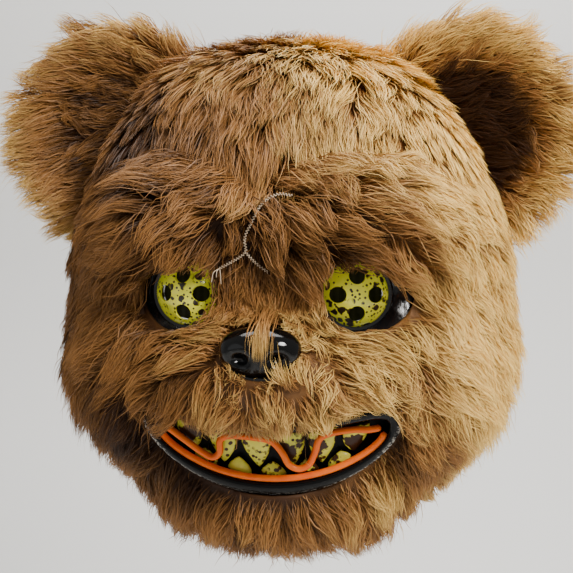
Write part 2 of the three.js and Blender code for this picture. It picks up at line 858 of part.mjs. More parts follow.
// A flat band through stations that hold its middle and the way that its width runs.
function band(stations, width) {
  const middles = stations.map(({ at }) => at);
  const path = new THREE.CatmullRomCurve3(middles);
  const columns = [[1, 1], [1, -1], [-1, -1], [-1, 1]].map(([across, out]) =>
    stations.map(({ at, wide }, index) => {
      const tangent = path.getTangent(index / (stations.length - 1));
      const thick = new THREE.Vector3().crossVectors(tangent, wide).normalize();
      return at.clone().addScaledVector(wide, (across * width) / 2).addScaledVector(thick, (out * strapWall) / 2);
    }),
  );
  const first = middles[0];
  const last = middles[middles.length - 1];
  return joinColumns(columns.map((column) => [first, ...column, last]));
}

const bandSteps = 18;
const strapInset = shellWall + 2 * fitGap + strapWall / 2;

// Where a strap's end lies against the inside of the plastic, a way in from the rim.
function strapAnchor(turn, inFromRim) {
  const reach = (faceHalfWidth + crownRise) / 2;
  return offFace(aimFrom(rimAngle(turn) - inFromRim / reach, turn), -strapInset);
}

const sideTurn = Math.PI / 2 - Math.asin(strapUp / faceHalfWidth);

// One elastic piece: a band round the back of the head, and one from the crown down to its middle.
function headStrap() {
  const upright = new THREE.Vector3(0, 0, 1);
  const level = new THREE.Vector3(1, 0, 0);
  const held = strapAnchor(sideTurn, strapOverlap);
  const leaving = strapAnchor(sideTurn, 0);
  const around = [];
  for (let step = 0; step <= bandSteps; step += 1) {
    const angle = (Math.PI * step) / bandSteps;
    const swell = Math.sin(angle) ** 0.8;
    const at = new THREE.Vector3(
      leaving.x * Math.cos(angle),
      leaving.y + (strapReach - leaving.y) * swell,
      leaving.z,
    );
    around.push({ at, wide: upright });
  }
  const mirrored = held.clone().setX(-held.x);
  const hoop = band([{ at: held, wide: upright }, ...around, { at: mirrored, wide: upright }], strapWidth);
  const crown = [strapOverlap, strapOverlap / 2, 0].map((inward) => strapAnchor(0, inward));
  const rimEdge = crown[2];
  const foot = new THREE.Vector3(0, strapReach, leaving.z + strapWidth / 2 - 1);
  for (let step = 1; step <= bandSteps / 2; step += 1) {
    const angle = (Math.PI * step) / bandSteps;
    crown.push(
      new THREE.Vector3(
        0,
        rimEdge.y + (foot.y - rimEdge.y) * Math.sin(angle),
        foot.z + (rimEdge.z - foot.z) * Math.cos(angle),
      ),
    );
  }
  return hoop.add(band(crown.map((at) => ({ at, wide: level })), strapWidth));
}

// Putting the mask together

const mask = new THREE.Group();

function add(name, solid, material) {
  mask.add(meshFromSolid(name, solid, material));
}

const sides = [
  ["left", -1],
  ["right", 1],
];

let faceShell = faceWall(-shellWall, 0);
for (const [, side] of sides) faceShell = faceShell.add(eyeCollar(side)).subtract(eyeHole(side));
faceShell = faceShell.subtract(mouthOpening(lipHalfWidth + fitGap));
add("face_shell", mainBody(faceShell), plasticBlack);

const lens = eyeLens();
const gauze = eyeGauze();
for (const [label, side] of sides) {
  const frame = eyeFrame(side);
  for (const [name, solid, material] of [
    ["eye_lens_", lens, limePrint],
    ["eye_gauze_", gauze, gauzeBlack],
  ]) {
    const mesh = meshFromSolid(name + label, solid, material);
    mesh.applyMatrix4(frame);
    mask.add(mesh);
  }
}

add("nose", nose(), plasticBlack);
add("mouth_rim", mouthRim(), plasticBlack);
const plateFront = lipBack + fitGap;
add("mouth_plate", mouthSlab(lipHalfWidth / 2, plateFront, plateFront + mouthPlateWall), plasticBlack);
upperTeeth.forEach((row, index) => add(`upper_tooth_${index + 1}`, tooth(row, 1), toothYellow));
lowerTeeth.forEach((row, index) => add(`lower_tooth_${index + 1}`, tooth(row, -1), toothYellow));
add("lip_tube", lipTube(), tubeOrange);
add("lacing_tube", lacingTube(), tubeOrange);

// Each plush piece is trimmed by grown copies of those that lie over it.
const headCoreUnderPlush = faceCore(fitGap).add(faceWall(-shellWall - fitGap, fitGap));
const headCoreUnderEars = faceCore(fitGap + plushWall + fitGap);
const keepClear = wasm.Manifold.union([
  mouthSlab(lipHalfWidth + seamGap, -lipFront - seamGap, plateFront + mouthPlateWall + seamGap),
  noseLump(seamGap),
  ...[-1, 1].flatMap((side) => [socketClearance(side), eyeCollar(side, seamGap)]),
]);
const covers = [keepClear];

for (const [label, side] of sides) {
  add(`ear_${label}`, mainBody(earSolid(side, 0).subtract(headCoreUnderEars)), pileBrown);
  covers.push(earSolid(side, seamGap));
}

for (const name of [...panelOrder, "hood_fur"]) {
  const solid = panelSolid(name, 0).subtract(headCoreUnderPlush).subtract(wasm.Manifold.union(covers));
  add(name, mainBody(solid), pileBrown);
  covers.push(panelSolid(name, seamGap / 2));
}

add("head_strap", mainBody(headStrap().subtract(faceWall(-shellWall - fitGap, 0))), elasticBlack);

export default mask;
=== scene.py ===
import math

import bmesh
import bpy
import numpy as np
from mathutils import Matrix, Vector
from mathutils.kdtree import KDTree


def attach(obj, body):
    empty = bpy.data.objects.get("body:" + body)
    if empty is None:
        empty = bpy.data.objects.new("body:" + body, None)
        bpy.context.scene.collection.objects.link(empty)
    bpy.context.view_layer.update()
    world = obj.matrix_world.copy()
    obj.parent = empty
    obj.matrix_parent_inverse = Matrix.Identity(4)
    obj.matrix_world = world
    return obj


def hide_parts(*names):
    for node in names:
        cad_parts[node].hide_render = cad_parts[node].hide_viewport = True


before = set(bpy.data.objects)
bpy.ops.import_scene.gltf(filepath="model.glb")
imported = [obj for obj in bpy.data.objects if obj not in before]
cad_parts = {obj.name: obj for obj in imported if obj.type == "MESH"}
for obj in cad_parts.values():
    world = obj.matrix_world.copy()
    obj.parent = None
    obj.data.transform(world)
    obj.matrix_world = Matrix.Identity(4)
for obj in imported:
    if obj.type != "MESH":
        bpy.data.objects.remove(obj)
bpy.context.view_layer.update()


# Where the picture is taken from.
# The mask hangs at head height, as it is worn, and the camera stands a little to its left and just above its
# eyes, close enough that the snout and the chin look large.

HEAD_CENTRE = np.array([0.0, 0.0, -0.1435])
CAMERA_DISTANCE = 0.650
CAMERA_TURN = math.radians(6)
CAMERA_RISE = math.radians(4)
CAMERA_AIM = (-0.0029, 0.0, -0.1425)
CAMERA_LENS = 62.6

camera_data = bpy.data.cameras.new("portrait_camera")
camera_data.lens = CAMERA_LENS
camera_data.sensor_width = 36
camera_data.clip_start = 0.01
camera = bpy.data.objects.new("portrait_camera", camera_data)
bpy.context.scene.collection.objects.link(camera)
towards_camera = Vector(
    (
        math.sin(CAMERA_TURN) * math.cos(CAMERA_RISE),
        -math.cos(CAMERA_TURN) * math.cos(CAMERA_RISE),
        math.sin(CAMERA_RISE),
    )
)
camera.location = Vector(CAMERA_AIM) + towards_camera * CAMERA_DISTANCE
camera.rotation_euler = towards_camera.to_track_quat("Z", "Y").to_euler()
bpy.context.scene.camera = camera


# Studio light.
# One broad soft light from the front right, a weaker one from the left, one from behind that catches the
# pile's edges, one on the wall, and pale air all round.


def soft_light(name, place, size, watts, tint, towards=tuple(HEAD_CENTRE)):
    light = bpy.data.lights.new(name, "AREA")
    light.shape = "DISK"
    light.size = size
    light.energy = watts
    light.color = tint
    lamp = bpy.data.objects.new(name, light)
    lamp.location = place
    lamp.rotation_euler = (Vector(place) - Vector(towards)).to_track_quat("Z", "Y").to_euler()
    bpy.context.scene.collection.objects.link(lamp)


soft_light("key_light", (0.85, -1.05, 0.75), 0.5, 34, (1.0, 0.965, 0.92))
soft_light("fill_light", (-1.3, -1.2, 0.25), 1.1, 1.5, (0.94, 0.97, 1.0))
soft_light("back_light", (0.35, 1.0, 0.9), 0.7, 13, (1.0, 0.98, 0.95))
soft_light("wall_light", (0.0, 0.35, 1.6), 1.6, 62, (1.0, 0.99, 0.97), towards=(0.0, 1.25, 0.0))

air = bpy.data.worlds.new("pale_air")
air.use_nodes = True
air.node_tree.nodes["Background"].inputs["Color"].default_value = (0.83, 0.82, 0.8, 1)
air.node_tree.nodes["Background"].inputs["Strength"].default_value = 0.4
bpy.context.scene.world = air


# The pale floor.
# A smooth matt floor that curves up into a wall behind, well below and behind the mask.

FLOOR_UP = -0.72
WALL_BACK = 1.25
FLOOR_HALF = 3.0
CURVE_RADIUS = 0.6
WALL_RUN = 2.5


def plug(tree, port, item):
    """Feeds a socket from a Value, or sets it to a number or a colour."""
    if isinstance(item, Value):
        tree.links.new(item.socket, port)
    else:
        port.default_value = (*item, 1) if port.type == "RGBA" else item


class Value:
    """A socket's output that takes part in sums, so that a pattern reads as the sum it is."""

    def __init__(self, tree, socket):
        self.tree = tree
        self.socket = socket

    def math(self, operation, *others):
        node = self.tree.nodes.new("ShaderNodeMath")
        node.operation = operation
        for port, item in zip(node.inputs, (self, *others)):
            plug(self.tree, port, item)
        return Value(self.tree, node.outputs[0])

    def __add__(self, other):
        return self.math("ADD", other)

    __radd__ = __add__

    def __mul__(self, other):
        return self.math("MULTIPLY", other)

    __rmul__ = __mul__

    def __sub__(self, other):
        return self.math("SUBTRACT", other)

    def __rsub__(self, other):
        return (self * -1) + other

    def clamped(self):
        return self.math("MINIMUM", 1).math("MAXIMUM", 0)

    def step(self, start, end):
        """0 before start, 1 after end, and a smooth ramp between them, whichever is the larger."""
        node = self.tree.nodes.new("ShaderNodeMapRange")
        node.interpolation_type = "SMOOTHSTEP"
        self.tree.links.new(self.socket, node.inputs["Value"])
        low, high = (start, end) if start < end else (end, start)
        node.inputs["From Min"].default_value = low
        node.inputs["From Max"].default_value = high
        rise = Value(self.tree, node.outputs["Result"])
        return rise if start < end else 1 - rise


class Finish:
    """One material: fixed numbers go on the shader's sockets, and patterns are fed to them."""

    def __init__(self, name, colour, roughness, **fixed):
        self.material = bpy.data.materials.new(name)
        self.material.use_nodes = True
        self.tree = self.material.node_tree
        self.shader = self.tree.nodes["Principled BSDF"]
        self.shader.inputs["Base Color"].default_value = (*colour, 1)
        self.shader.inputs["Roughness"].default_value = roughness
        for socket, number in fixed.items():
            self.shader.inputs[socket.replace("_", " ")].default_value = number
        self.place = self.node("ShaderNodeTexCoord", output="Object")

    def node(self, kind, settings=None, output=0, **inputs):
        node = self.tree.nodes.new(kind)
        for key, setting in (settings or {}).items():
            setattr(node, key, setting)
        for key, item in inputs.items():
            plug(self.tree, node.inputs[key.replace("_", " ")], item)
        return Value(self.tree, node.outputs[output])

    def noise(self, scale, detail=2.0, output="Fac", **inputs):
        inputs.setdefault("Vector", self.place)
        return self.node("ShaderNodeTexNoise", output=output, Scale=scale, Detail=detail, **inputs)

    def cells(self, scale, randomness=1.0, **inputs):
        """How far each place is from the nearest of many points."""
        inputs.setdefault("Vector", self.place)
        inputs.update(Scale=scale, Randomness=randomness)
        return self.node("ShaderNodeTexVoronoi", output="Distance", **inputs)

    def mix(self, factor, first, second):
        """first where factor is 0 and second where it is 1, as colours."""
        node = self.tree.nodes.new("ShaderNodeMix")
        node.data_type = "RGBA"
        for port, item in zip((0, 6, 7), (factor, first, second)):
            plug(self.tree, node.inputs[port], item)
        return Value(self.tree, node.outputs[2])

    def feed(self, name, value):
        self.tree.links.new(value.socket, self.shader.inputs[name])

    def bump(self, height, strength, distance):
        sizes = dict(Strength=strength, Distance=distance)
        self.feed("Normal", self.node("ShaderNodeBump", output="Normal", Height=height, **sizes))


def new_object(name, mesh, finish):
    made = bpy.data.objects.new(name, mesh)
    mesh.materials.append(finish.material)
    bpy.context.scene.collection.objects.link(made)
    return made


def mesh_from(bm, name, smooth=True):
    for face in bm.faces:
        face.smooth = smooth
    mesh = bpy.data.meshes.new(name)
    bm.to_mesh(mesh)
    bm.free()
    return mesh


def piece_from(bm, name, finish):
    return new_object(name, mesh_from(bm, name), finish)


paper = Finish("pale_matt", (0.66, 0.655, 0.64), 0.9)
sweep = bmesh.new()
bmesh.ops.create_grid(sweep, x_segments=2, y_segments=64, size=1)
for vert in sweep.verts:
    along = (vert.co.y + 1) / 2 * (FLOOR_HALF + WALL_BACK + WALL_RUN)
    past = max(along - FLOOR_HALF - WALL_BACK + CURVE_RADIUS, 0)
    turned = min(past / CURVE_RADIUS, math.pi / 2)
    beyond = max(past - CURVE_RADIUS * math.pi / 2, 0)
    flat = min(along, FLOOR_HALF + WALL_BACK - CURVE_RADIUS)
    vert.co = (
        vert.co.x * FLOOR_HALF,
        flat - FLOOR_HALF + CURVE_RADIUS * math.sin(turned),
        FLOOR_UP + CURVE_RADIUS * (1 - math.cos(turned)) + beyond,
    )
piece_from(sweep, "floor_sweep", paper)


# The moulded face.
# A thin shell of glossy black plastic, blow-moulded with brow, sockets, snout, cheeks and chin, open behind.
# A collar stands round each eye, and the mouth is cut out. It shows only in the sockets and from behind.

HALF_WIDTH = 0.127
CROWN_RISE = 0.146
CHIN_DROP = 0.142
FACE_DEPTH = 0.112
TEMPLE_REACH = 0.190
BOXINESS = 2.35
WALL = 0.0025
CROWN_RIM, SIDE_RIM, CHIN_RIM = (math.radians(angle) for angle in (118, 104, 74))
FACE_TURNS, FACE_ROWS = 96, 46

# Across, up, wide and tall are shares of the half width and the crown's rise, out of the face's depth.
SWELLINGS = (
    dict(across=0.42, up=0.31, wide=0.37, tall=0.16, out=0.24),
    dict(across=0.36, up=0.03, wide=0.22, tall=0.15, out=-0.08),
    dict(across=0.0, up=-0.27, wide=0.46, tall=0.21, out=0.44),
    dict(across=0.72, up=-0.3, wide=0.28, tall=0.27, out=0.13),
    dict(across=0.0, up=-0.82, wide=0.52, tall=0.2, out=0.26),
)

EYE_RADIUS, EYE_OUT, EYE_UP, EYE_TURN = 0.0178, 0.045, 0.005, math.radians(9)
COLLAR_WALL, COLLAR_FORWARD, COLLAR_BACK = 0.003, 0.006, 0.010
EYE_LEDGE = 0.0025
LENS_SKIRT = 0.0034
MOUTH_HALF_WIDTH, MOUTH_HALF_HEIGHT, MOUTH_UP = 0.068, 0.018, -0.085
GRIN, MOUTH_LEAN, MOUTH_SQUARENESS = 0.020, 0.010, 2.5
LIP_HALF_WIDTH, LIP_FRONT, LIP_BACK = 0.0036, 0.0045, 0.007
GLUE_GAP = 0.00035
CUT_FRONT, CUT_DEPTH = -0.3, 0.27


def unit(vectors):
    return vectors / np.maximum(np.linalg.norm(vectors, axis=-1, keepdims=True), 1e-12)


def eased(value, start, end):
    share = np.clip((value - start) / (end - start), 0, 1)
    return share * share * (3 - 2 * share)


def forward_at(across, up):
    forward = np.zeros_like(across)
    for swell in SWELLINGS:
        for side in {-swell["across"], swell["across"]}:
            sideways = (across - side * HALF_WIDTH) / (swell["wide"] * HALF_WIDTH)
            upwards = (up - swell["up"] * CROWN_RISE) / (swell["tall"] * CROWN_RISE)
            forward += swell["out"] * FACE_DEPTH * np.exp(-(sideways**2) - upwards**2)
    return forward


def face_points(aims):
    """Where the plastic's outside lies along directions from the head's centre."""
    rise = np.where(aims[..., 2] > 0, CROWN_RISE, CHIN_DROP)
    depth = np.where(aims[..., 1] < 0, FACE_DEPTH, TEMPLE_REACH)
    total = sum(
        np.abs(part / reach) ** BOXINESS
        for part, reach in ((aims[..., 0], HALF_WIDTH), (aims[..., 1], depth), (aims[..., 2], rise))
    )
    points = aims * (total ** (-1 / BOXINESS))[..., None]
    frontness = eased(-aims[..., 1], -0.05, 0.45)
    points[..., 1] -= forward_at(points[..., 0], points[..., 2]) * frontness
    return points + HEAD_CENTRE


def face_slopes(aims, probe=0.012):
    """The two crossing slopes of the face at some aims."""
    helper = np.where(np.abs(aims[..., 2:]) < 0.9, (0.0, 0.0, 1.0), (1.0, 0.0, 0.0))
    first = unit(np.cross(aims, helper))
    second = np.cross(aims, first)
    return [
        (face_points(unit(aims + probe * way)) - face_points(unit(aims - probe * way))) / (2 * probe)
        for way in (first, second)
    ]


def face_normals(aims):
    return unit(np.cross(*face_slopes(aims)))


def aims_from(polar, turn):
    return np.stack(
        [np.sin(polar) * np.sin(turn), -np.cos(polar), np.sin(polar) * np.cos(turn)], axis=-1
    )


def rim_angle(turn):
    mean = (CROWN_RIM + CHIN_RIM + 2 * SIDE_RIM) / 4
    return (
        mean
        + (CROWN_RIM - CHIN_RIM) / 2 * np.cos(turn)
        + (CROWN_RIM + CHIN_RIM - 2 * SIDE_RIM) / 4 * np.cos(2 * turn)
    )


def aim_seen_at(across, up):
    rise = CROWN_RISE if up > 0 else CHIN_DROP
    left = 1 - abs(across / HALF_WIDTH) ** BOXINESS - abs(up / rise) ** BOXINESS
    return unit(np.array([across, -FACE_DEPTH * max(left, 0) ** (1 / BOXINESS), up]))


def shaped_grid(columns, rows, place):
    """A grid laid out by place(across, along), for shares from 0 to 1, with its meeting edges joined."""
    bm = bmesh.new()
    bmesh.ops.create_grid(bm, x_segments=columns, y_segments=rows, size=1)
    shares = np.array([vert.co[:2] for vert in bm.verts]) / 2 + 0.5
    layer = bm.verts.layers.float_vector.new("shares")
    for vert, share, point in zip(bm.verts, shares, place(shares[:, 0], shares[:, 1])):
        vert[layer] = (*share, 0)
        vert.co = point
    bmesh.ops.remove_doubles(bm, verts=bm.verts, dist=2e-6)
    return bm


def outward(bm):
    bmesh.ops.recalc_face_normals(bm, faces=bm.faces)
    return bm


def face_sheet(height):
    """The whole face as one open sheet at a height off the plastic, looking outwards."""

    def place(across, along):
        turn = across * 2 * math.pi
        aims = aims_from(rim_angle(turn) * along, turn)
        return face_points(aims) + height * face_normals(aims)

    bm = shaped_grid(FACE_TURNS, FACE_ROWS, place)
    middle = Vector(HEAD_CENTRE)
    if sum((face.calc_center_median() - middle).dot(face.normal) for face in bm.faces) < 0:
        bmesh.ops.reverse_faces(bm, faces=bm.faces)
    return bm


def eye_place(side):
    """Puts a thing made along +Z onto an eye, looking out of the face."""
    seat = face_points(aim_seen_at(side * EYE_OUT, EYE_UP))
    axis = Vector((side * math.sin(EYE_TURN), -math.cos(EYE_TURN), 0))
    return Matrix.Translation(seat) @ axis.to_track_quat("Z", "Y").to_matrix().to_4x4()


def spun(profile, steps):
    """A closed profile of radius and height pairs, spun round Z."""
    bm = bmesh.new()
    verts = [bm.verts.new((radius, 0, height)) for radius, height in profile]
    edges = [bm.edges.new((verts[i - 1], verts[i])) for i in range(len(verts))]
    spin = dict(axis=(0, 0, 1), cent=(0, 0, 0), steps=steps, angle=2 * math.pi, use_merge=True)
    bmesh.ops.spin(bm, geom=verts + edges, **spin)
    bmesh.ops.remove_doubles(bm, verts=bm.verts, dist=1e-6)
    return outward(bm)


def mouth_oval(angle, extra):
    c, s = np.cos(angle), np.sin(angle)
    return (
        (MOUTH_HALF_WIDTH + extra) * np.sign(c) * np.abs(c) ** (2 / MOUTH_SQUARENESS),
        (MOUTH_HALF_HEIGHT + extra) * np.sign(s) * np.abs(s) ** (2 / MOUTH_SQUARENESS),
    )


def mouth_middle(across):
    return MOUTH_UP + GRIN * (across / MOUTH_HALF_WIDTH) ** 2


def mouth_room(across):
    share = np.clip(np.abs(across / MOUTH_HALF_WIDTH), 0, 1)
    return MOUTH_HALF_HEIGHT * (1 - share**MOUTH_SQUARENESS) ** (1 / MOUTH_SQUARENESS)


JAW_FRONT = face_points(aim_seen_at(0, MOUTH_UP - MOUTH_HALF_HEIGHT))[1]
CORNER_FRONT = face_points(aim_seen_at(MOUTH_HALF_WIDTH, MOUTH_UP + GRIN))[1]


def mouth_points(across, above, inward):
    """Across, above the mouth's bent middle line, and inward from the lips' own surface."""
    bow = (CORNER_FRONT - JAW_FRONT) * (across / MOUTH_HALF_WIDTH) ** 2
    lean = MOUTH_LEAN * (above + MOUTH_HALF_HEIGHT) / (2 * MOUTH_HALF_HEIGHT)
    up = HEAD_CENTRE[2] + mouth_middle(across) + above
    return np.stack([across, JAW_FRONT + bow - lean + inward, up], axis=-1)


def cut_away(target, cutters):
    """Cuts the cutters' closed meshes out of a piece and drops them."""
    for cutter in cutters:
        made = bpy.data.objects.new("cutter", cutter)
        bpy.context.scene.collection.objects.link(made)
        hole = target.modifiers.new("hole", "BOOLEAN")
        hole.operation = "DIFFERENCE"
        hole.solver = "EXACT"
        hole.object = made
        bpy.context.view_layer.update()
        seen = target.evaluated_get(bpy.context.evaluated_depsgraph_get())
        done = bpy.data.meshes.new_from_object(seen)
        target.modifiers.remove(hole)
        old = target.data
        target.data = done
        bpy.data.meshes.remove(old)
        bpy.data.objects.remove(made)


def mouth_cutter(extra):
    steps = 72
    angles = np.arange(steps) * 2 * math.pi / steps
    across, above = mouth_oval(angles, extra)
    bm = bmesh.new()
    up = HEAD_CENTRE[2] + mouth_middle(across) + above
    front = bm.faces.new([bm.verts.new((x, CUT_FRONT, z)) for x, z in zip(across, up)])
    extruded = bmesh.ops.extrude_face_region(bm, geom=[front])["geom"]
    back = [part for part in extruded if isinstance(part, bmesh.types.BMVert)]
    bmesh.ops.translate(bm, verts=back, vec=(0, CUT_DEPTH, 0))
    return mesh_from(outward(bm), "mouth_cutter")


def rod_cutter(place, below, above, depth, segments=64):
    """A closed rod along Z with its two radii, put in its place."""
    bm = bmesh.new()
    sizes = dict(segments=segments, radius1=below, radius2=above, depth=depth)
    bmesh.ops.create_cone(bm, cap_ends=True, **sizes)
    bmesh.ops.transform(bm, matrix=place, verts=bm.verts)
    return mesh_from(outward(bm), "rod_cutter")


moulded = Finish("black_moulded_plastic", (0.006, 0.006, 0.007), 0.16, Coat_Weight=0.5, Coat_Roughness=0.08)
dust = moulded.noise(60, 4).step(0.52, 0.78)
moulded.feed("Base Color", moulded.mix(dust, (0.006, 0.006, 0.007), (0.021, 0.02, 0.019)))
moulded.feed("Roughness", 0.13 + 0.22 * dust)
moulded.bump(moulded.noise(110, 2), 0.25, 0.0008)

COLLAR_OUTER = EYE_RADIUS + COLLAR_WALL
COLLAR_BORE = EYE_RADIUS - EYE_LEDGE
COLLAR_ROUND = 0.0012
BORE_DEPTH = 0.08
LENS_SEAT = COLLAR_FORWARD - LENS_SKIRT


def eye_collar(side):
    bm = spun(
        [
            (COLLAR_BORE, -COLLAR_BACK),
            (COLLAR_OUTER - COLLAR_ROUND / 2, -COLLAR_BACK),
            (COLLAR_OUTER, -COLLAR_BACK + COLLAR_ROUND / 2),
            (COLLAR_OUTER, COLLAR_FORWARD - COLLAR_ROUND),
            (COLLAR_OUTER - COLLAR_ROUND / 3, COLLAR_FORWARD - COLLAR_ROUND / 3),
            (COLLAR_OUTER - COLLAR_ROUND, COLLAR_FORWARD),
            (EYE_RADIUS + GLUE_GAP, COLLAR_FORWARD - COLLAR_ROUND / 3),
            (EYE_RADIUS + GLUE_GAP, LENS_SEAT),
            (COLLAR_BORE, LENS_SEAT),
        ],
        64,
    )
    bmesh.ops.transform(bm, matrix=eye_place(side), verts=bm.verts)
    return mesh_from(bm, "eye_collar")


def eye_bore(side):
    radius = COLLAR_OUTER - 0.001
    return rod_cutter(eye_place(side), radius, radius, BORE_DEPTH)


shell_sheet = face_sheet(0)
bmesh.ops.solidify(shell_sheet, geom=shell_sheet.faces[:], thickness=WALL)
shell = piece_from(outward(shell_sheet), "face_shell_plastic", moulded)
cut_away(shell, [eye_bore(-1), eye_bore(1), mouth_cutter(LIP_HALF_WIDTH + GLUE_GAP)])
with_collars = bmesh.new()
with_collars.from_mesh(shell.data)
for side in (-1, 1):
    collar_mesh = eye_collar(side)
    with_collars.from_mesh(collar_mesh)
    bpy.data.meshes.remove(collar_mesh)
for face in with_collars.faces:
    face.smooth = True
with_collars.to_mesh(shell.data)
with_collars.free()
shell.data.set_sharp_from_angle(angle=math.radians(40))
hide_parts("face_shell")
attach(shell, "root")


# Eyes.
# Domed lenses of glossy lime plastic, printed with dark specks and drilled with four round view holes,
# dropped into the collars. Black gauze is glued behind the holes.

DOME_RADIUS = 0.021
LENS_WALL = 0.0018
HOLE_RADIUS, HOLE_RING = 0.0045, 0.0102
DRILL_UP, DRILL_LENGTH, DRILL_TAPER = 0.012, 0.03, (0.9, 1.04)

# The lens is given a faint glow through its emission: painted light, since the lens is no lamp.
lime = Finish(
    "lime_speckled_plastic",
    (0.9, 0.86, 0.06),
    0.16,
    Coat_Weight=0.6,
    Coat_Roughness=0.06,
    Emission_Strength=0.16,
)
wobble = lime.node("ShaderNodeVectorMath", {"operation": "MULTIPLY_ADD"}, output="Vector")
swirl = lime.noise(170, 3, output="Color")
lime.tree.links.new(swirl.socket, wobble.socket.node.inputs[0])
wobble.socket.node.inputs[1].default_value = (0.0034, 0.0034, 0.0034)
lime.tree.links.new(lime.place.socket, wobble.socket.node.inputs[2])
lime_ground = lime.mix(lime.noise(70, 3).step(0.35, 0.7), (0.95, 0.90, 0.06), (0.74, 0.76, 0.05))
blotch = lime.cells(190.0, Vector=wobble)
speck = lime.cells(420.0)
chance = lime.noise(95, 1)
inked = (blotch.step(0.44, 0.38) * chance.step(0.42, 0.48)).math("MAXIMUM", speck.step(0.32, 0.26))
lime_colour = lime.mix(inked, lime_ground, (0.022, 0.014, 0.008))
lime.feed("Base Color", lime_colour)
# The lens glows faintly in its own colours, specks too: painted light that brightens it.
lime.feed("Emission Color", lime_colour)
lime.feed("Roughness", 0.14 + 0.2 * inked)

gauze = Finish("black_gauze", (0.006, 0.006, 0.006), 0.95)
threads = gauze.cells(1500.0, randomness=0.0)
gauze.feed("Base Color", gauze.mix(threads.step(0.3, 0.5), (0.002, 0.002, 0.002), (0.03, 0.03, 0.03)))
gauze.bump(threads, 0.5, 0.0003)


def arc(radius, share):
    sweep_angle = math.asin(EYE_RADIUS / DOME_RADIUS) * share
    centre = COLLAR_FORWARD - math.sqrt(DOME_RADIUS**2 - EYE_RADIUS**2)
    return radius * math.sin(sweep_angle), centre + radius * math.cos(sweep_angle)


for side, label in ((-1, "left"), (1, "right")):
    shares = [step / 14 for step in range(15)]
    skirt = COLLAR_FORWARD - LENS_SKIRT + GLUE_GAP
    profile = [arc(DOME_RADIUS, share) for share in shares]
    profile += [(EYE_RADIUS, skirt), (EYE_RADIUS - LENS_WALL, skirt)]
    profile += [arc(DOME_RADIUS - LENS_WALL, share) for share in reversed(shares)]
    lens = piece_from(spun(profile, 72), f"eye_dome_{label}", lime)
    lens.data.transform(eye_place(side))
    radii = [HOLE_RADIUS * share for share in DRILL_TAPER]
    drills = []
    for turned in (0, math.pi / 2, math.pi, 3 * math.pi / 2):
        middle = (HOLE_RING * math.cos(turned), HOLE_RING * math.sin(turned), DRILL_UP)
        drills.append(rod_cutter(eye_place(side) @ Matrix.Translation(middle), *radii, DRILL_LENGTH, 40))
    cut_away(lens, drills)
    lens.data.polygons.foreach_set("use_smooth", [True] * len(lens.data.polygons))
    lens.data.set_sharp_from_angle(angle=math.radians(40))
    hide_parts(f"eye_lens_{label}")
    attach(lens, "root")
    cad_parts[f"eye_gauze_{label}"].material_slots[0].material = gauze.material


# Nose.
# A glossy black plastic lump glued on the snout's tip, broad above and narrow below, with two open nostrils
# and a shallow groove between them.

NOSE_HALF = np.array([0.020, 0.012, 0.0135])
NOSE_UP = -0.025
NOSTRIL_OUT, NOSTRIL_DOWN, NOSTRIL_DEPTH = 0.46, 0.2, 0.55
nose_aim = aim_seen_at(0, NOSE_UP)
NOSE_MIDDLE = face_points(nose_aim) + face_normals(nose_aim) * NOSE_HALF[1] * 0.35

nose_black = Finish(
    "black_nose_plastic",
    (0.002, 0.002, 0.002),
    0.1,
    Specular_IOR_Level=0.25,
    Coat_Weight=0.25,
    Coat_Roughness=0.03,
)
smear = nose_black.noise(90, 3).step(0.45, 0.75)
nose_black.feed("Roughness", 0.09 + 0.2 * smear)
nose_black.bump(nose_black.noise(85, 2), 0.6, 0.0025)

bm = bmesh.new()
bmesh.ops.create_uvsphere(bm, u_segments=72, v_segments=40, radius=1)
for vert in bm.verts:
    x, y, z = vert.co
    taper = 1 + 0.22 * z
    groove = math.exp(-((x / 0.12) ** 2)) * 0.13 * max(-y, 0)
    pits = sum(
        math.exp(-(((x - side * NOSTRIL_OUT) / 0.2) ** 2) - ((z + NOSTRIL_DOWN) / 0.24) ** 2)
        for side in (-1, 1)
    )
    y_pressed = y + (groove + NOSTRIL_DEPTH * pits * max(-y, 0))
    wings = 1 + 0.1 * math.exp(-(((abs(x) - 0.75) / 0.3) ** 2) - ((z + 0.25) / 0.4) ** 2)
    vert.co = Vector((x * taper * wings, y_pressed, z)) * Vector(NOSE_HALF) + Vector(NOSE_MIDDLE)
nose_piece = piece_from(outward(bm), "nose_lump", nose_black)
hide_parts("nose")
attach(nose_piece, "root")


# Mouth.
# A thick black plastic lip follows the grin, roughly trimmed along its outer edge, where the mould's flash
# and glue show pale. A black plate closes the mouth behind the teeth.

LIP_TURNS = 180

lip_black = Finish(
    "black_lip_plastic", (0.004, 0.004, 0.004), 0.12, Specular_IOR_Level=0.12, Coat_Weight=0.16
)
scuffs = lip_black.noise(230, 5).step(0.66, 0.8)
frayed = lip_black.node("ShaderNodeAttribute", {"attribute_name": "trim"}, output="Fac")
pale_edge = frayed * lip_black.noise(520, 4).step(0.42, 0.62)
lip_colour = lip_black.mix(scuffs * 0.5, (0.004, 0.004, 0.004), (0.04, 0.038, 0.036))
lip_black.feed("Base Color", lip_black.mix(pale_edge, lip_colour, (0.52, 0.49, 0.43)))
lip_black.feed("Roughness", (0.1 + 0.25 * scuffs + 0.5 * pale_edge).clamped())
lip_black.bump(lip_black.noise(420, 3) * (0.12 + frayed), 0.4, 0.001)

LIP_SECTION = (
    (1.0, LIP_BACK),
    (1.0, -LIP_FRONT * 0.2),
    (0.88, -LIP_FRONT * 0.62),
    (0.55, -LIP_FRONT * 0.92),
    (0.0, -LIP_FRONT),
    (-0.55, -LIP_FRONT * 0.92),
    (-0.88, -LIP_FRONT * 0.62),
    (-1.0, -LIP_FRONT * 0.2),
    (-1.0, LIP_BACK),
)


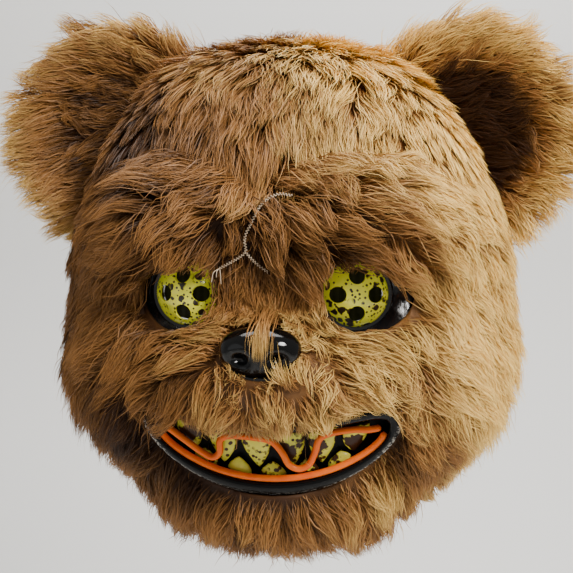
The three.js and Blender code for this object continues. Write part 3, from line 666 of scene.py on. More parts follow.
def lip_place(across, along):
    section = np.array(LIP_SECTION + LIP_SECTION[:1])
    spots = along * (len(section) - 1)
    extra = np.interp(spots, range(len(section)), section[:, 0]) * LIP_HALF_WIDTH
    inward = np.interp(spots, range(len(section)), section[:, 1])
    angle = across * 2 * math.pi
    x, above = mouth_oval(angle, extra)
    ragged = 0.00035 * np.sin(angle * 61) * np.cos(angle * 37) * (extra > 0.9 * LIP_HALF_WIDTH)
    return mouth_points(x, above, inward + ragged)


lip = piece_from(outward(shaped_grid(LIP_TURNS, len(LIP_SECTION), lip_place)), "mouth_lip", lip_black)
lip_mesh = lip.data
trim = lip_mesh.attributes.new("trim", "FLOAT", "POINT")
places = np.empty(len(lip_mesh.vertices) * 3)
lip_mesh.vertices.foreach_get("co", places)
places = places.reshape(-1, 3)
above_middle = places[:, 2] - HEAD_CENTRE[2] - mouth_middle(places[:, 0])
edge_share = -above_middle / (mouth_room(places[:, 0]) + 1e-4)
trim.data.foreach_set("value", eased(edge_share, 1.15, 1.2) * (above_middle < 0))
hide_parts("mouth_rim")
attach(lip, "root")

plate = Finish("black_mouth_plate", (0.003, 0.003, 0.003), 0.5, Specular_IOR_Level=0.12)
grime = plate.noise(150, 4).step(0.5, 0.75)
plate.feed("Base Color", plate.mix(grime, (0.003, 0.003, 0.003), (0.012, 0.011, 0.01)))
plate.feed("Roughness", 0.42 + 0.3 * grime)
plate.bump(plate.noise(260, 2), 0.3, 0.0006)
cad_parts["mouth_plate"].material_slots[0].material = plate.material


# Teeth.
# Hollow fangs of glossy yellow plastic, six above and five below, splashed by hand with thin dark brown
# paint.

TOOTH_THICKNESS = 0.005
UPPER_TEETH = (
    dict(across=-0.68, half=0.11, length=0.85, lean=0.02),
    dict(across=-0.4, half=0.115, length=1.1, lean=0.01),
    dict(across=-0.13, half=0.12, length=1.12, lean=0.03),
    dict(across=0.15, half=0.12, length=1.1, lean=0.02),
    dict(across=0.42, half=0.115, length=1.05, lean=-0.01),
    dict(across=0.69, half=0.11, length=0.8, lean=-0.02),
)
LOWER_TEETH = (
    dict(across=-0.54, half=0.1, length=0.48, lean=0),
    dict(across=-0.265, half=0.1, length=0.6, lean=0),
    dict(across=0.01, half=0.11, length=0.58, lean=0),
    dict(across=0.285, half=0.1, length=0.56, lean=0),
    dict(across=0.555, half=0.1, length=0.45, lean=0),
)

fang = Finish("yellow_fang_plastic", (0.5, 0.45, 0.08), 0.2, Specular_IOR_Level=0.2, Coat_Weight=0.15)
fang_ground = fang.mix(fang.noise(60, 3).step(0.3, 0.7), (0.86, 0.80, 0.09), (0.62, 0.60, 0.06))
runs = fang.noise(105, 4).step(0.5, 0.54)
drops = fang.cells(330.0)
drops = drops.step(0.4, 0.32) * fang.noise(60, 1).step(0.5, 0.58)
splash = runs.math("MAXIMUM", drops)
fang.feed("Base Color", fang.mix(splash, fang_ground, (0.04, 0.013, 0.003)))
fang.feed("Roughness", 0.16 + 0.2 * splash)


def tooth_place(row, direction):
    gum = direction * (
        mouth_room((abs(row["across"]) + row["half"]) * MOUTH_HALF_WIDTH) - LIP_HALF_WIDTH - 2 * GLUE_GAP
    )
    # Down the tooth: how far along each stage lies, and how wide and how deep the tooth is there
    stages = np.array([0, 0, 0.08, 0.35, 0.6, 0.85, 0.95, 1.0])
    widths = np.array([0, 0.94, 0.98, 0.98, 0.76, 0.36, 0.15, 0])
    depths = np.array([0, 0.9, 0.95, 1.0, 0.82, 0.5, 0.28, 0])

    def place(across, along):
        spot = along * (len(stages) - 1)
        down = np.interp(spot, range(len(stages)), stages)
        width = np.interp(spot, range(len(stages)), widths) * row["half"] * MOUTH_HALF_WIDTH
        depth = np.interp(spot, range(len(stages)), depths) * TOOTH_THICKNESS / 2
        angle = across * 2 * math.pi
        x = (row["across"] + row["lean"] * down) * MOUTH_HALF_WIDTH + width * np.cos(angle)
        above = gum - direction * down * row["length"] * MOUTH_HALF_HEIGHT
        return mouth_points(x, above, LIP_BACK - TOOTH_THICKNESS / 2 + depth * np.sin(angle))

    return place


for rows, direction, row_name in ((UPPER_TEETH, 1, "upper"), (LOWER_TEETH, -1, "lower")):
    for number, row in enumerate(rows, 1):
        bm = outward(shaped_grid(28, 21, tooth_place(row, direction)))
        made = piece_from(bm, f"{row_name}_fang_{number}", fang)
        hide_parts(f"{row_name}_tooth_{number}")
        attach(made, "root")


# Orange tubes.
# Semi-gloss plastic tube, 3.8 mm thick. One length lines the lower lip from corner to corner, and one is
# laced up and down between the teeth.

TUBE_RADIUS = 0.0019
TUBE_INSET = 0.001
LIP_TUBE_INSET = LIP_HALF_WIDTH + TUBE_RADIUS + GLUE_GAP
LACING = (
    (-0.86, 0.5),
    (-0.72, 0.3),
    (-0.56, 0.12),
    (-0.47, 0.1),
    (-0.41, 0.35),
    (-0.4, 0.75),
    (-0.3, 0.95),
    (-0.1, 0.97),
    (0.02, 0.88),
    (0.1, 0.55),
    (0.15, 0.2),
    (0.23, 0.04),
    (0.31, 0.12),
    (0.36, 0.45),
    (0.4, 0.85),
    (0.5, 0.97),
    (0.66, 0.93),
    (0.78, 0.75),
    (0.86, 0.62),
)

orange = Finish("orange_tube_plastic", (0.9, 0.15, 0.006), 0.32, Specular_IOR_Level=0.25)
worn = orange.noise(80, 3).step(0.35, 0.7)
orange.feed("Base Color", orange.mix(worn, (0.95, 0.17, 0.006), (0.8, 0.11, 0.006)))
orange.bump(orange.noise(900, 2), 0.15, 0.0002)


def smooth_route(points, count):
    """Evenly many places along a smooth curve through the points."""
    points = np.array(points)
    padded = np.vstack([2 * points[0] - points[1], points, 2 * points[-1] - points[-2]])
    spots = np.linspace(0, len(points) - 1, count)
    index = np.minimum(spots.astype(int), len(points) - 2)
    t = (spots - index)[:, None]
    a, b, c, d = (padded[index + step] for step in range(4))
    return 0.5 * (2 * b + (c - a) * t + (2 * a - 5 * b + 4 * c - d) * t**2 + (3 * b - a - 3 * c + d) * t**3)


def tube_along(route, radius, sides):
    """A closed tube along a route, with rounded ends."""
    tangents = unit(np.gradient(route, axis=0))
    level = unit(np.cross(tangents, (0.0, 1.0, 0.0)))
    upright = np.cross(level, tangents)
    last = len(route) - 1

    def place(across, along):
        spot = along * (last + 4) - 2
        index = np.clip(np.round(spot).astype(int), 0, last)
        over = np.maximum(-spot, spot - last).clip(0, 2)
        girth = radius * np.where(over >= 1.5, 0, np.where(over >= 0.5, 0.7, 1))
        reach = radius * np.where(over >= 1.5, 1.0, np.where(over >= 0.5, 0.7, 0)) * np.where(spot < 0, -1, 1)
        angle = (across * 2 * math.pi)[:, None]
        ring = level[index] * np.cos(angle) + upright[index] * np.sin(angle)
        return route[index] + tangents[index] * reach[:, None] + ring * girth[:, None]

    return outward(shaped_grid(sides, last + 4, place))


lip_angles = np.pi * (1.05 + 0.9 * np.linspace(0, 1, 25))
lip_x, lip_above = mouth_oval(lip_angles, -LIP_TUBE_INSET)
lip_route = smooth_route(mouth_points(lip_x, lip_above, -TUBE_INSET), 110)

lacing = np.array(LACING)
lacing_x = lacing[:, 0] * MOUTH_HALF_WIDTH
lacing_low = LIP_TUBE_INSET + 2 * TUBE_RADIUS + GLUE_GAP - mouth_room(lacing_x)
lacing_high = mouth_room(lacing_x) - LIP_HALF_WIDTH - TUBE_RADIUS - GLUE_GAP
lacing_above = lacing_low + (lacing_high - lacing_low) * lacing[:, 1]
lacing_route = smooth_route(mouth_points(lacing_x, lacing_above, -TUBE_INSET), 220)

for name, node, route in (
    ("lip_lining_tube", "lip_tube", lip_route),
    ("laced_tube", "lacing_tube", lacing_route),
):
    made = piece_from(tube_along(route, TUBE_RADIUS, 14), name, orange)
    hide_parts(node)
    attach(made, "root")


# The plush panels.
# Long-piled brown plush, sewn from panels and glued over the plastic: hood, two brows, muzzle and chin. Its
# cloth lies on the shell, and the pile falls into pointed, wavy locks with dark roots and tan tips.

PLUSH_WALL = 0.003
PILE_STEPS = 4

# Each socket's side, how far outside the eye its middle lies, and its half width and half height.
SOCKETS = [(side, shift, (COLLAR_OUTER + shift, COLLAR_OUTER)) for side, shift in ((-1, 0.003), (1, 0.006))]
PANEL_OVALS = {
    "brow_fur_right": dict(across=0.34, up=0.34, wide=0.43, tall=0.2),
    "brow_fur_left": dict(across=-0.43, up=0.34, wide=0.39, tall=0.2),
    "muzzle_fur": dict(across=0.0, up=-0.16, wide=0.59, tall=0.41),
    "chin_fur": dict(across=0.0, up=-0.86, wide=0.74, tall=0.36),
}
PANEL_NAMES = [*PANEL_OVALS, "hood_fur"]
BROW_PANELS = 2
PARTING = -0.011

plush = Finish("long_brown_pile", (0.2, 0.11, 0.05), 0.52, Specular_IOR_Level=0.22)
strand = plush.node("ShaderNodeAttribute", {"attribute_name": "pile"}, output="Color")
up_strand = plush.node("ShaderNodeSeparateColor", output="Red", Color=strand)
own_shade, tan_and_light_share = (Value(plush.tree, up_strand.socket.node.outputs[key]) for key in ("Green", "Blue"))
patches = plush.noise(24, 3)
# The blue channel brings each strand's tan, partly painted light and shade, into its colour.
lightness = up_strand * (0.3 + 0.48 * tan_and_light_share) + 0.34 * (own_shade - 0.5)
lightness = (lightness + 0.3 * (patches - 0.5) + 0.05 + 0.36 * tan_and_light_share).clamped()
shade_low = plush.mix(lightness.step(0.0, 0.42), (0.036, 0.013, 0.004), (0.33, 0.148, 0.04))
shade_high = plush.mix(lightness.step(0.36, 0.95), shade_low, (0.94, 0.64, 0.19))
plush.feed("Base Color", shade_high)


def panel_of(points):
    """The number of the panel that each place belongs to, the hood's last."""
    found = np.full(len(points), len(PANEL_NAMES) - 1)
    for number, oval in reversed(list(enumerate(PANEL_OVALS.values()))):
        sideways = (points[:, 0] - oval["across"] * HALF_WIDTH) / (oval["wide"] * HALF_WIDTH)
        upwards = (points[:, 2] - HEAD_CENTRE[2] - oval["up"] * CROWN_RISE) / (oval["tall"] * CROWN_RISE)
        found[sideways**2 + upwards**2 < 1] = number
    return found


def bare(points, margin):
    """Where no hair is rooted: the sockets, under the nose and over the mouth."""
    up = points[:, 2] - HEAD_CENTRE[2]
    hidden = np.zeros(len(points), bool)
    for side, shift, half in SOCKETS:
        sideways = (points[:, 0] - side * (EYE_OUT + shift)) / (half[0] + margin)
        hidden |= sideways**2 + ((up - EYE_UP) / (half[1] + margin)) ** 2 < 1
    sideways = points[:, 0] / (NOSE_HALF[0] + margin)
    hidden |= sideways**2 + ((points[:, 2] - NOSE_MIDDLE[2]) / (NOSE_HALF[2] + margin)) ** 2 < 0.9
    above = up - mouth_middle(points[:, 0])
    across = np.abs(points[:, 0]) / (MOUTH_HALF_WIDTH + LIP_HALF_WIDTH + margin)
    above = np.abs(above) / (MOUTH_HALF_HEIGHT + LIP_HALF_WIDTH + margin)
    in_mouth = across**MOUTH_SQUARENESS + above**MOUTH_SQUARENESS < 1
    return hidden | (in_mouth & (points[:, 1] < HEAD_CENTRE[1]))


def oval_cutter(across, up, wide, tall):
    """A prism along Y that cuts an oval seen from the front."""
    place = Matrix.Translation((across, CUT_FRONT + CUT_DEPTH / 2, up))
    turned = Matrix.Diagonal((wide, 1, tall, 1)) @ Matrix.Rotation(math.pi / 2, 4, "X")
    return rod_cutter(place @ turned, 1, 1, CUT_DEPTH)


def shade_cloth(mesh, tan_of):
    """The cloth under the pile takes the dark colour of the pile's roots."""
    colours = np.tile(np.array([0.0, 0.3, 0.0, 1.0], np.float32), (len(mesh.vertices), 1))
    colours[:, 2] = tan_of(np.array([vert.co for vert in mesh.vertices]))
    mesh.attributes.new("pile", "FLOAT_COLOR", "POINT").data.foreach_set("color", colours.ravel())


def cloth_of(name, panel):
    """A piece's cloth: the part of the face's sheet that it covers, cut out round eyes, nose and mouth."""
    bm = face_sheet(GLUE_GAP + PLUSH_WALL)
    centres = np.array([face.calc_center_median() for face in bm.faces])
    mine = (panel_of(centres) == panel) & belongs(name, centres)
    others = [face for face, kept in zip(bm.faces[:], mine) if not kept]
    bmesh.ops.delete(bm, geom=others, context="FACES")
    bmesh.ops.solidify(bm, geom=bm.faces[:], thickness=PLUSH_WALL - 0.0002)
    made = piece_from(outward(bm), name, plush)
    sockets = [
        oval_cutter(side * (EYE_OUT + shift), HEAD_CENTRE[2] + EYE_UP, *half)
        for side, shift, half in SOCKETS
    ]
    nose_oval = oval_cutter(0, NOSE_MIDDLE[2], NOSE_HALF[0] * 0.98, NOSE_HALF[2] * 0.98)
    cut_away(made, [*sockets, nose_oval, mouth_cutter(LIP_HALF_WIDTH + 2 * GLUE_GAP)])
    shade_cloth(made.data, tan_and_light_at)
    return made


def combed(points, normals):
    """How the pile lies: off the nose and down, forwards over the forehead, and outwards over the brows."""
    up = points[:, 2] - HEAD_CENTRE[2]
    forehead = eased(up, CROWN_RISE * 0.46, CROWN_RISE * 0.62)
    sideways = points[:, 0] / (np.abs(points[:, 0]) + HALF_WIDTH / 3)
    none = np.zeros(len(points))
    comb = np.stack([sideways * (0.8 - 0.55 * forehead), 0.35 - 1.25 * forehead, none - 0.8], axis=-1)
    brow = panel_of(points) < BROW_PANELS
    outwards = np.tanh((points[:, 0] - PARTING) / 0.016)
    comb[brow] = np.stack([outwards * 0.95, none, none - 0.55], axis=-1)[brow]
    bridge = (np.abs(points[:, 0]) < 0.024) & (up > NOSE_UP) & (up < 0.03)
    comb[bridge, 1] = -0.25
    comb[bridge, 0] *= 0.7
    towards_nose = np.stack([-points[:, 0], none, NOSE_MIDDLE[2] - points[:, 2]], axis=-1)
    by_nose = np.linalg.norm(towards_nose / (NOSE_HALF[0], 1, NOSE_HALF[2]), axis=-1) < 1.45
    leaning = by_nose & (np.arange(len(points)) % 2 == 0) & (points[:, 1] < HEAD_CENTRE[1] - 0.1)
    comb[leaning] = unit(towards_nose[leaning]) + (0.1, 0, -0.1)
    comb = unit(comb)
    lift = (comb * normals).sum(1, keepdims=True)
    return unit(comb - lift * normals), lift[:, 0]


def patch(points, across, up, wide, tall):
    """1 at a place of the face, seen from the front, and fading round it."""
    sideways = (points[:, 0] - across) / wide
    upwards = (points[:, 2] - HEAD_CENTRE[2] - up) / tall
    return np.exp(-(sideways**2) - upwards**2)


def tan_and_light_at(points):
    """How light the pile is: tan over the right of forehead and cheek, brown on the brows and the left. The
    right's tan and the left's brown are partly the plush's own colour and partly painted light and shade; the
    crown's top is lighter as painted light from above, and two dark patches by the mouth are painted shade.
    """
    across, up = points[:, 0], points[:, 2] - HEAD_CENTRE[2]
    # The right side lighter and the left darker: partly the plush's own colour, partly painted light and
    # shade.
    right = eased(across, -0.034, 0.056)
    front = points[:, 1] < HEAD_CENTRE[1]
    brow = np.exp(-(((up - 0.036) / 0.024) ** 2)) * (1 - 0.85 * eased(across, 0.045, 0.082)) * front
    muzzle = patch(points, across=0, up=-0.03, wide=0.075, tall=0.06) * front
    chin = (1 - eased(up, -0.13, -0.085)) * (1 - eased(np.abs(across), 0.05, 0.1)) * front
    # The crown's top lighter: painted light from above.
    top = eased(up, 0.118, 0.138)
    # Darker by the mouth's right corner, under the snout: painted shade.
    corner = patch(points, across=0.082, up=-0.074, wide=0.023, tall=0.034) * front
    # Darker left of the mouth, under the snout: painted shade.
    hollow = patch(points, across=-0.078, up=-0.058, wide=0.017, tall=0.022) * front
    # Darker over the left temple, with the rest of the left side: partly painted shade.
    temple = patch(points, across=-0.075, up=0.085, wide=0.03, tall=0.03)
    tan = 0.68 * right + 0.28 * eased(across, 0.06, 0.1) + (0.25 + 0.35 * right) * top + 0.24 * muzzle
    tan -= 0.78 * corner + 0.2 * temple + 0.45 * hollow + (0.02 + 0.7 * right) * brow
    return np.clip(tan - 0.28 * right * muzzle + (0.06 - 0.6 * right) * chin, -0.3, 1)


def nearest(places, guides):
    tree = KDTree(len(guides))
    for number, place in enumerate(guides):
        tree.insert(place, number)
    tree.balance()
    return np.array([tree.find(place)[1] for place in places])


def grown(rng, roots, normals, combs, length, rise, wild, wavy, sag):
    """Paths of hairs that leave the cloth steeply and lie down along their comb, swaying and sagging."""
    count = len(roots)
    sway = np.cross(normals, combs)
    combs = unit(combs + rng.normal(0, wild, (count, 1)) * sway)
    swing = rng.uniform(0, 2 * np.pi, (count, 1))
    swell = rng.uniform(0.3 * wavy, wavy, (count, 1))
    place = roots - 0.0012 * normals
    path = [place]
    for step in range(PILE_STEPS):
        share = (step + 0.5) / PILE_STEPS
        angle = (rise * (1 - share) ** 1.2 + 0.13)[:, None]
        wave = swell * np.sin(swing + share * 5.6)
        way = combs * np.cos(angle) + normals * np.sin(angle) + sway * wave
        way[:, 2] -= sag * share
        place = place + unit(way) * (length / PILE_STEPS)[:, None]
        path.append(place)
    return np.stack(path, axis=1)


def gathered(paths, owners, locks, pull, short, loose):
    """Draws hairs towards the path of the lock that they belong to, most at their tips."""
    share = np.linspace(0, 1, PILE_STEPS + 1)
    spots = share[None, :] * short[:, None] * PILE_STEPS
    index = np.minimum(spots.astype(int), PILE_STEPS - 1)
    part = (spots - index)[..., None]
    lock = locks[owners]
    row = np.arange(len(paths))[:, None]
    along = lock[row, index] * (1 - part) + lock[row, index + 1] * part
    return paths + (along - paths) * ((pull[owners] * loose)[:, None] * share**0.9)[..., None]


def add_level(rng, levels, paths, pull, lock, left, shortest, kinship, **kept):
    """Adds a level of locks or hairs: drawn to the level before, and taking after its shades."""
    count = len(paths)
    own = rng.uniform(0, 1, count)
    if levels:
        before = levels[-1]
        owners = nearest(kept["roots"], before["roots"])
        pulls = lock * rng.uniform(*pull, len(before["roots"]))
        loose = np.where(rng.uniform(0, 1, count) < LOOSE_SHARE, left, 1)
        paths = gathered(paths, owners, before["paths"], pulls, rng.uniform(shortest, 1, count), loose)
        own = kinship * before["own"][owners] + (1 - kinship) * own
    levels.append(dict(paths=paths, own=own, **kept))


def in_view_of_eyes(paths):
    """Hairs that would hang before a lens."""
    crossing = np.zeros(len(paths), bool)
    for side in (-1, 1):
        inverse = np.array(eye_place(side).inverted())
        local = paths @ inverse[:3, :3].T + inverse[:3, 3]
        near = np.hypot(local[..., 0], local[..., 1]) < EYE_RADIUS
        crossing |= (near & (local[..., 1] < 0.6 * EYE_RADIUS) & (local[..., 2] > 0)).any(axis=1)
    return crossing


def over_mouth_or_nose(paths):
    """Hairs that would hide the teeth or the nose, apart from those that fringe them."""
    up = paths[..., 2] - HEAD_CENTRE[2]
    above = up - mouth_middle(paths[..., 0])
    room = mouth_room(paths[..., 0]) + LIP_HALF_WIDTH
    fringe = 0.74 - 1.8 * eased(-paths[..., 0], 0.046, 0.062) + 0.25 * eased(paths[..., 0], 0.03, 0.055)
    inside = (paths[..., 0] > -0.8 * MOUTH_HALF_WIDTH) & (paths[..., 0] < 1.02 * MOUTH_HALF_WIDTH)
    inside &= (above < fringe * room) & (above > -room - 0.001)
    sideways = (paths[..., 0] + 0.001) / (NOSE_HALF[0] * 0.78)
    upwards = (paths[..., 2] - NOSE_MIDDLE[2] - 0.0005) / (NOSE_HALF[2] * 0.76)
    over_nose = sideways**2 + upwards**2 < 1
    return ((inside | over_nose) & (paths[..., 1] < HEAD_CENTRE[1] - 0.08)).any(axis=1)


# The brow seam, as places across and up from the head's centre: the right brow's cut edge, and its two
# branches.
SEAM_LIFT = 0.0125
SEAM_ROUTES = (
    (
        (0.0165, 0.0513),
        (0.0080, 0.0520),
        (-0.0015, 0.0490),
        (-0.0085, 0.0430),
        (-0.0122, 0.0385),
        (-0.0115, 0.0333),
        (-0.0175, 0.0300),
        (-0.0245, 0.0270),
    ),
    ((-0.0115, 0.0333), (-0.005, 0.0270), (0.001, 0.0211)),
)


def seam_points(route, lift):
    spots = smooth_route(np.array([(across, up, 0) for across, up in route]), 40)
    aims = np.array([aim_seen_at(across, up) for across, up, _ in spots])
    return face_points(aims) + lift * face_normals(aims)


SEAMS = [seam_points(route, SEAM_LIFT) for route in SEAM_ROUTES]


def over_seam(paths):
    """Hairs that would lie over the seam, which rests on the pile behind it."""
    middle = np.concatenate(SEAMS)[::3]
    away = paths[:, :, None, :] - middle
    return ((np.hypot(away[..., 0], away[..., 2]) < 0.0022) & (away[..., 1] < 0.0005)).any(axis=(1, 2))


def blocked(paths, near_seam):
    """Hairs that hide what has to be seen, tested at places a few millimetres apart."""
    shares = np.linspace(0, 1, 4)[:-1, None]
    between = paths[:, :-1, None] * (1 - shares) + paths[:, 1:, None] * shares
    paths = np.concatenate([between.reshape(len(paths), -1, 3), paths[:, -1:]], axis=1)
    hidden = in_view_of_eyes(paths) | over_mouth_or_nose(paths)
    return hidden | over_seam(paths) if near_seam else hidden


def pile_mesh(name, rng, hairs, paths, normals, tan):
    """Tapering ribbons along the hairs' paths as one mesh, with each hair's shades on its points."""
    count = len(paths)
    ways = unit(np.diff(paths, axis=1))[:, 1:]
    facing = unit(normals + rng.normal(0, 0.75, (count, 3)))
    taper = np.array([0.95, 0.85, 0.55])[None, :, None]
    widths = PILE_WIDTH * rng.uniform(0.7, 1.3, (count, 1, 1)) / 2
    half = unit(np.cross(ways, facing[:, None, :])) * taper * widths
    body = paths[:, 1:PILE_STEPS]
    sides = np.stack([body - half, body + half], axis=2).reshape(count, -1, 3)
    points = np.concatenate([paths[:, :1], sides, paths[:, PILE_STEPS:]], axis=1)
    corners = np.array([0, 2, 1, 1, 2, 4, 3, 3, 4, 6, 5, 5, 6, 7])
    starts = np.array([0, 3, 7, 11])
    row = np.arange(count)[:, None]
    corners = corners[None, :] + points.shape[1] * row
    starts = starts[None, :] + corners.shape[1] * row
    mesh = bpy.data.meshes.new(name)
    mesh.vertices.add(count * points.shape[1])
    mesh.vertices.foreach_set("co", points.astype(np.float32).ravel())
    mesh.loops.add(corners.size)
    mesh.loops.foreach_set("vertex_index", corners.astype(np.int32).ravel())
    mesh.polygons.add(starts.size)
    mesh.polygons.foreach_set("loop_start", starts.astype(np.int32).ravel())
    mesh.update(calc_edges=True)
    mesh.polygons.foreach_set("use_smooth", np.ones(starts.size, bool))
    colours = np.ones((count, points.shape[1], 4), np.float32)
    colours[..., 0] = np.array([0, 0.25, 0.25, 0.5, 0.5, 0.75, 0.75, 1])
    colours[..., 1] = hairs["own"][:, None]
    colours[..., 2] = tan[:, None]
    mesh.attributes.new("pile", "FLOAT_COLOR", "POINT").data.foreach_set("color", colours.ravel())
    return mesh


def joined(first, *others):
    """Joins objects into the first one."""
    with bpy.context.temp_override(active_object=first, selected_editable_objects=[first, *others]):
        bpy.ops.object.join()
    return first


def scattered_aims(rng, count):
    """Aims spread evenly over the face's area."""
    turns = rng.uniform(0, 2 * np.pi, count * 6)
    polar = np.arccos(rng.uniform(math.cos(CROWN_RIM), 1, count * 6))
    keep = polar < rim_angle(turns)
    aims = aims_from(polar[keep], turns[keep])
    area = np.linalg.norm(np.cross(*face_slopes(aims)), axis=1)
    aims = aims[rng.uniform(0, np.quantile(area, 0.995), len(area)) < area]
    return aims[:count]


def face_pile(rng, row, panel):
    """The hairs of one piece of plush: large locks, small locks drawn to them, and hairs drawn to those."""
    levels = []
    for share, wild, wavy, pull in LOCK_LEVELS:
        aims = scattered_aims(rng, int(TOTAL_HAIRS * share))
        normals = face_normals(aims)
        roots = face_points(aims) + (GLUE_GAP + PLUSH_WALL) * normals
        mine = (panel_of(roots) == panel) & belongs(row["name"], roots) & ~bare(roots, 0.0006)
        normals, roots = normals[mine][: row["most"]], roots[mine][: row["most"]]
        combs, lift = combed(roots, normals)
        lengths = row["length"] * length_at(roots) * rng.uniform(0.68, 1.18, len(roots))
        steep = row["rise"] * rise_at(roots) * rng.uniform(0.7, 1.25, len(roots)) + np.clip(lift, 0, 0.5)
        ways = wild * row["wild"], wavy * row["wavy"], row["sag"]
        paths = grown(rng, roots, normals, combs, lengths, steep, *ways)
        add_level(rng, levels, paths, pull, row["lock"], 0.2, 0.55, 0.68, roots=roots, normals=normals)
    hairs = levels[-1]
    near_seam = row["node"] in ("brow_fur_left", "brow_fur_right", "muzzle_fur")
    stray = rng.uniform(0, 1, len(hairs["roots"])) < STRAY_SHARE
    for tuft in NOSE_TUFTS:
        chosen = in_tuft(hairs["roots"], tuft)
        hairs["paths"][chosen] = tuft_paths(rng, hairs["roots"][chosen], tuft)
        stray |= chosen
    root = hairs["roots"][:, None, :]
    for keep in SHORTENINGS:
        drop = blocked(hairs["paths"], near_seam) & ~stray
        hairs["paths"] = np.where(drop[:, None, None], root + (hairs["paths"] - root) * keep, hairs["paths"])
    drop = blocked(hairs["paths"], near_seam) & ~stray
    return {key: values[~drop] for key, values in hairs.items()}


# Tufts that fall over the nose: where their roots are, how far they spread, the place that they bend at and
# where they end, as places across and up from the nose's middle.
NOSE_TUFTS = (
    dict(root=(0.0015, 0.0185), spread=(0.0065, 0.006), bend=(0.0015, 0.0145), end=(0.0015, 0.002)),
    dict(root=(0.0165, -0.0145), spread=(0.007, 0.0055), bend=(0.0135, -0.0125), end=(0.0105, -0.0045)),
)


def in_tuft(points, tuft):
    across = (points[:, 0] - NOSE_MIDDLE[0] - tuft["root"][0]) / tuft["spread"][0]
    up = (points[:, 2] - NOSE_MIDDLE[2] - tuft["root"][1]) / tuft["spread"][1]
    return across**2 + up**2 < 1


def tuft_paths(rng, roots, tuft):
    """Hairs that bend once on their way and end in front of the nose."""
    spot = rng.normal(0, 1, (2, len(roots)))
    front = NOSE_MIDDLE - (0, NOSE_HALF[1], 0)

    def around(place, forward, spread):
        across, up = (middle + reach * own for middle, reach, own in zip(place, spread, spot))
        return (front + np.stack([across, np.full(len(roots), -forward), up], axis=-1))[:, None]

    bend = around(tuft["bend"], 0.006, (0.0028, 0.001))
    end = around(tuft["end"], 0.0015, (0.0026, 0.0034))
    share = np.linspace(0, 1, PILE_STEPS + 1)[None, :, None]
    return (1 - share) ** 2 * roots[:, None] + 2 * share * (1 - share) * bend + share**2 * end


def length_at(points):
    """Shorter hair on the bridge and round the nose, before the ears and at the temples."""
    up = points[:, 2] - HEAD_CENTRE[2]
    out = np.abs(points[:, 0])
    by_nose = np.hypot(points[:, 0] / 0.034, (up - NOSE_UP - 0.006) / 0.03)
    by_ear = np.hypot(out - EAR_OUT - 0.004, up - EAR_UP + 0.004) / 0.045
    temple = eased(out, 0.075, 0.115) * np.exp(-(((up - 0.022) / 0.036) ** 2)) * (points[:, 1] < 0.04)
    before_ear = 0.56 + 0.44 * eased(by_ear, 0.6, 1.5)
    length = (0.5 + 0.5 * eased(by_nose, 0.6, 1.3)) * before_ear * (1 - 0.36 * temple)
    return length * (1 - 0.3 * jaw_at(points))


def jaw_at(points):
    """The sides of the jaw, where the pile lies flatter."""
    return eased(HEAD_CENTRE[2] - points[:, 2], 0.05, 0.095) * eased(np.abs(points[:, 0]), 0.05, 0.085)


def rise_at(points):
    """More upright hair round the sockets, nose and mouth, where it hides the cloth's cut edge."""
    return (1 + 0.45 * bare(points, 0.005) + 0.45 * bare(points, 0.0025)) * (1 - 0.5 * jaw_at(points))


# For each level of locks: its share of the hairs, how far it strays, how wavy it is, and how strongly it is
# drawn to the level before.
LOCK_LEVELS = (
    (0.0036, 0.42, 1.0, None),
    (0.012, 0.34, 1.3, (0.2, 0.55)),
    (1.0, 0.2, 0.5, (0.6, 0.95)),
)
EAR_HALF_CHORD, EAR_HEIGHT, EAR_ROOT = 0.063, 0.073, 0.026
EAR_THICKNESS, EAR_CUP = 0.015, 0.017
EAR_OUT, EAR_UP, EAR_BACK = 0.099, 0.094, 0.004
EAR_SLANT = math.radians(50)
EAR_SQUARENESS = 2.3
TOTAL_HAIRS = 144000
PILE_WIDTH = 0.00054

# The share of hairs that hang loose of their lock, the share that may hang before an eye or the mouth, and
# how hairs that hide what has to be seen are shortened, step by step, before they are left out.
LOOSE_SHARE, STRAY_SHARE = 0.02, 0.002
SHORTENINGS = (0.62, 0.4, 0.4)

CROWN_LINE = HEAD_CENTRE[2] + 0.075

# Length is in metres, rise in radians off the cloth at the root, sag pulls the tips down, and lock is how
# pointed the locks are.
PLUSH_PIECES = (
    dict(
        name="hood_plush_crown", node="hood_fur", wild=0.6, wavy=0.6,
        length=0.050, rise=0.3, sag=0.15, lock=0.75, most=30000,
    ),
    dict(
        name="hood_plush_left", node="hood_fur", wild=1.0, wavy=1.3,
        length=0.043, rise=0.5, sag=0.4, lock=0.86, most=24000,
    ),
    dict(
        name="hood_plush_right", node="hood_fur", wild=1.0, wavy=1.3,
        length=0.048, rise=0.55, sag=0.4, lock=0.88, most=24000,
    ),
    dict(
        name="brow_plush_left", node="brow_fur_left", wild=1.1, wavy=1.0,
        length=0.047, rise=1.0, sag=0.4, lock=1.0, most=13000,
    ),
    dict(
        name="brow_plush_right", node="brow_fur_right", wild=1.1, wavy=1.0,
        length=0.047, rise=1.0, sag=0.4, lock=1.0, most=13000,
    ),
    dict(
        name="muzzle_plush", node="muzzle_fur", wild=1.1, wavy=1.4,
        length=0.042, rise=0.65, sag=0.35, lock=1.0, most=22000,
    ),
    dict(
        name="chin_plush", node="chin_fur", wild=1.0, wavy=1.2,
        length=0.040, rise=0.5, sag=0.6, lock=1.0, most=18000,
    ),
)


def belongs(name, places):
    """Which of a panel's places are in one of its pieces: the hood is made as a crown and two sides."""
    above = places[:, 2] > CROWN_LINE
    if name == "hood_plush_crown":
        return above
    if name == "hood_plush_left":
        return ~above & (places[:, 0] < 0)
    if name == "hood_plush_right":
        return ~above & (places[:, 0] >= 0)
    return np.ones(len(places), bool)


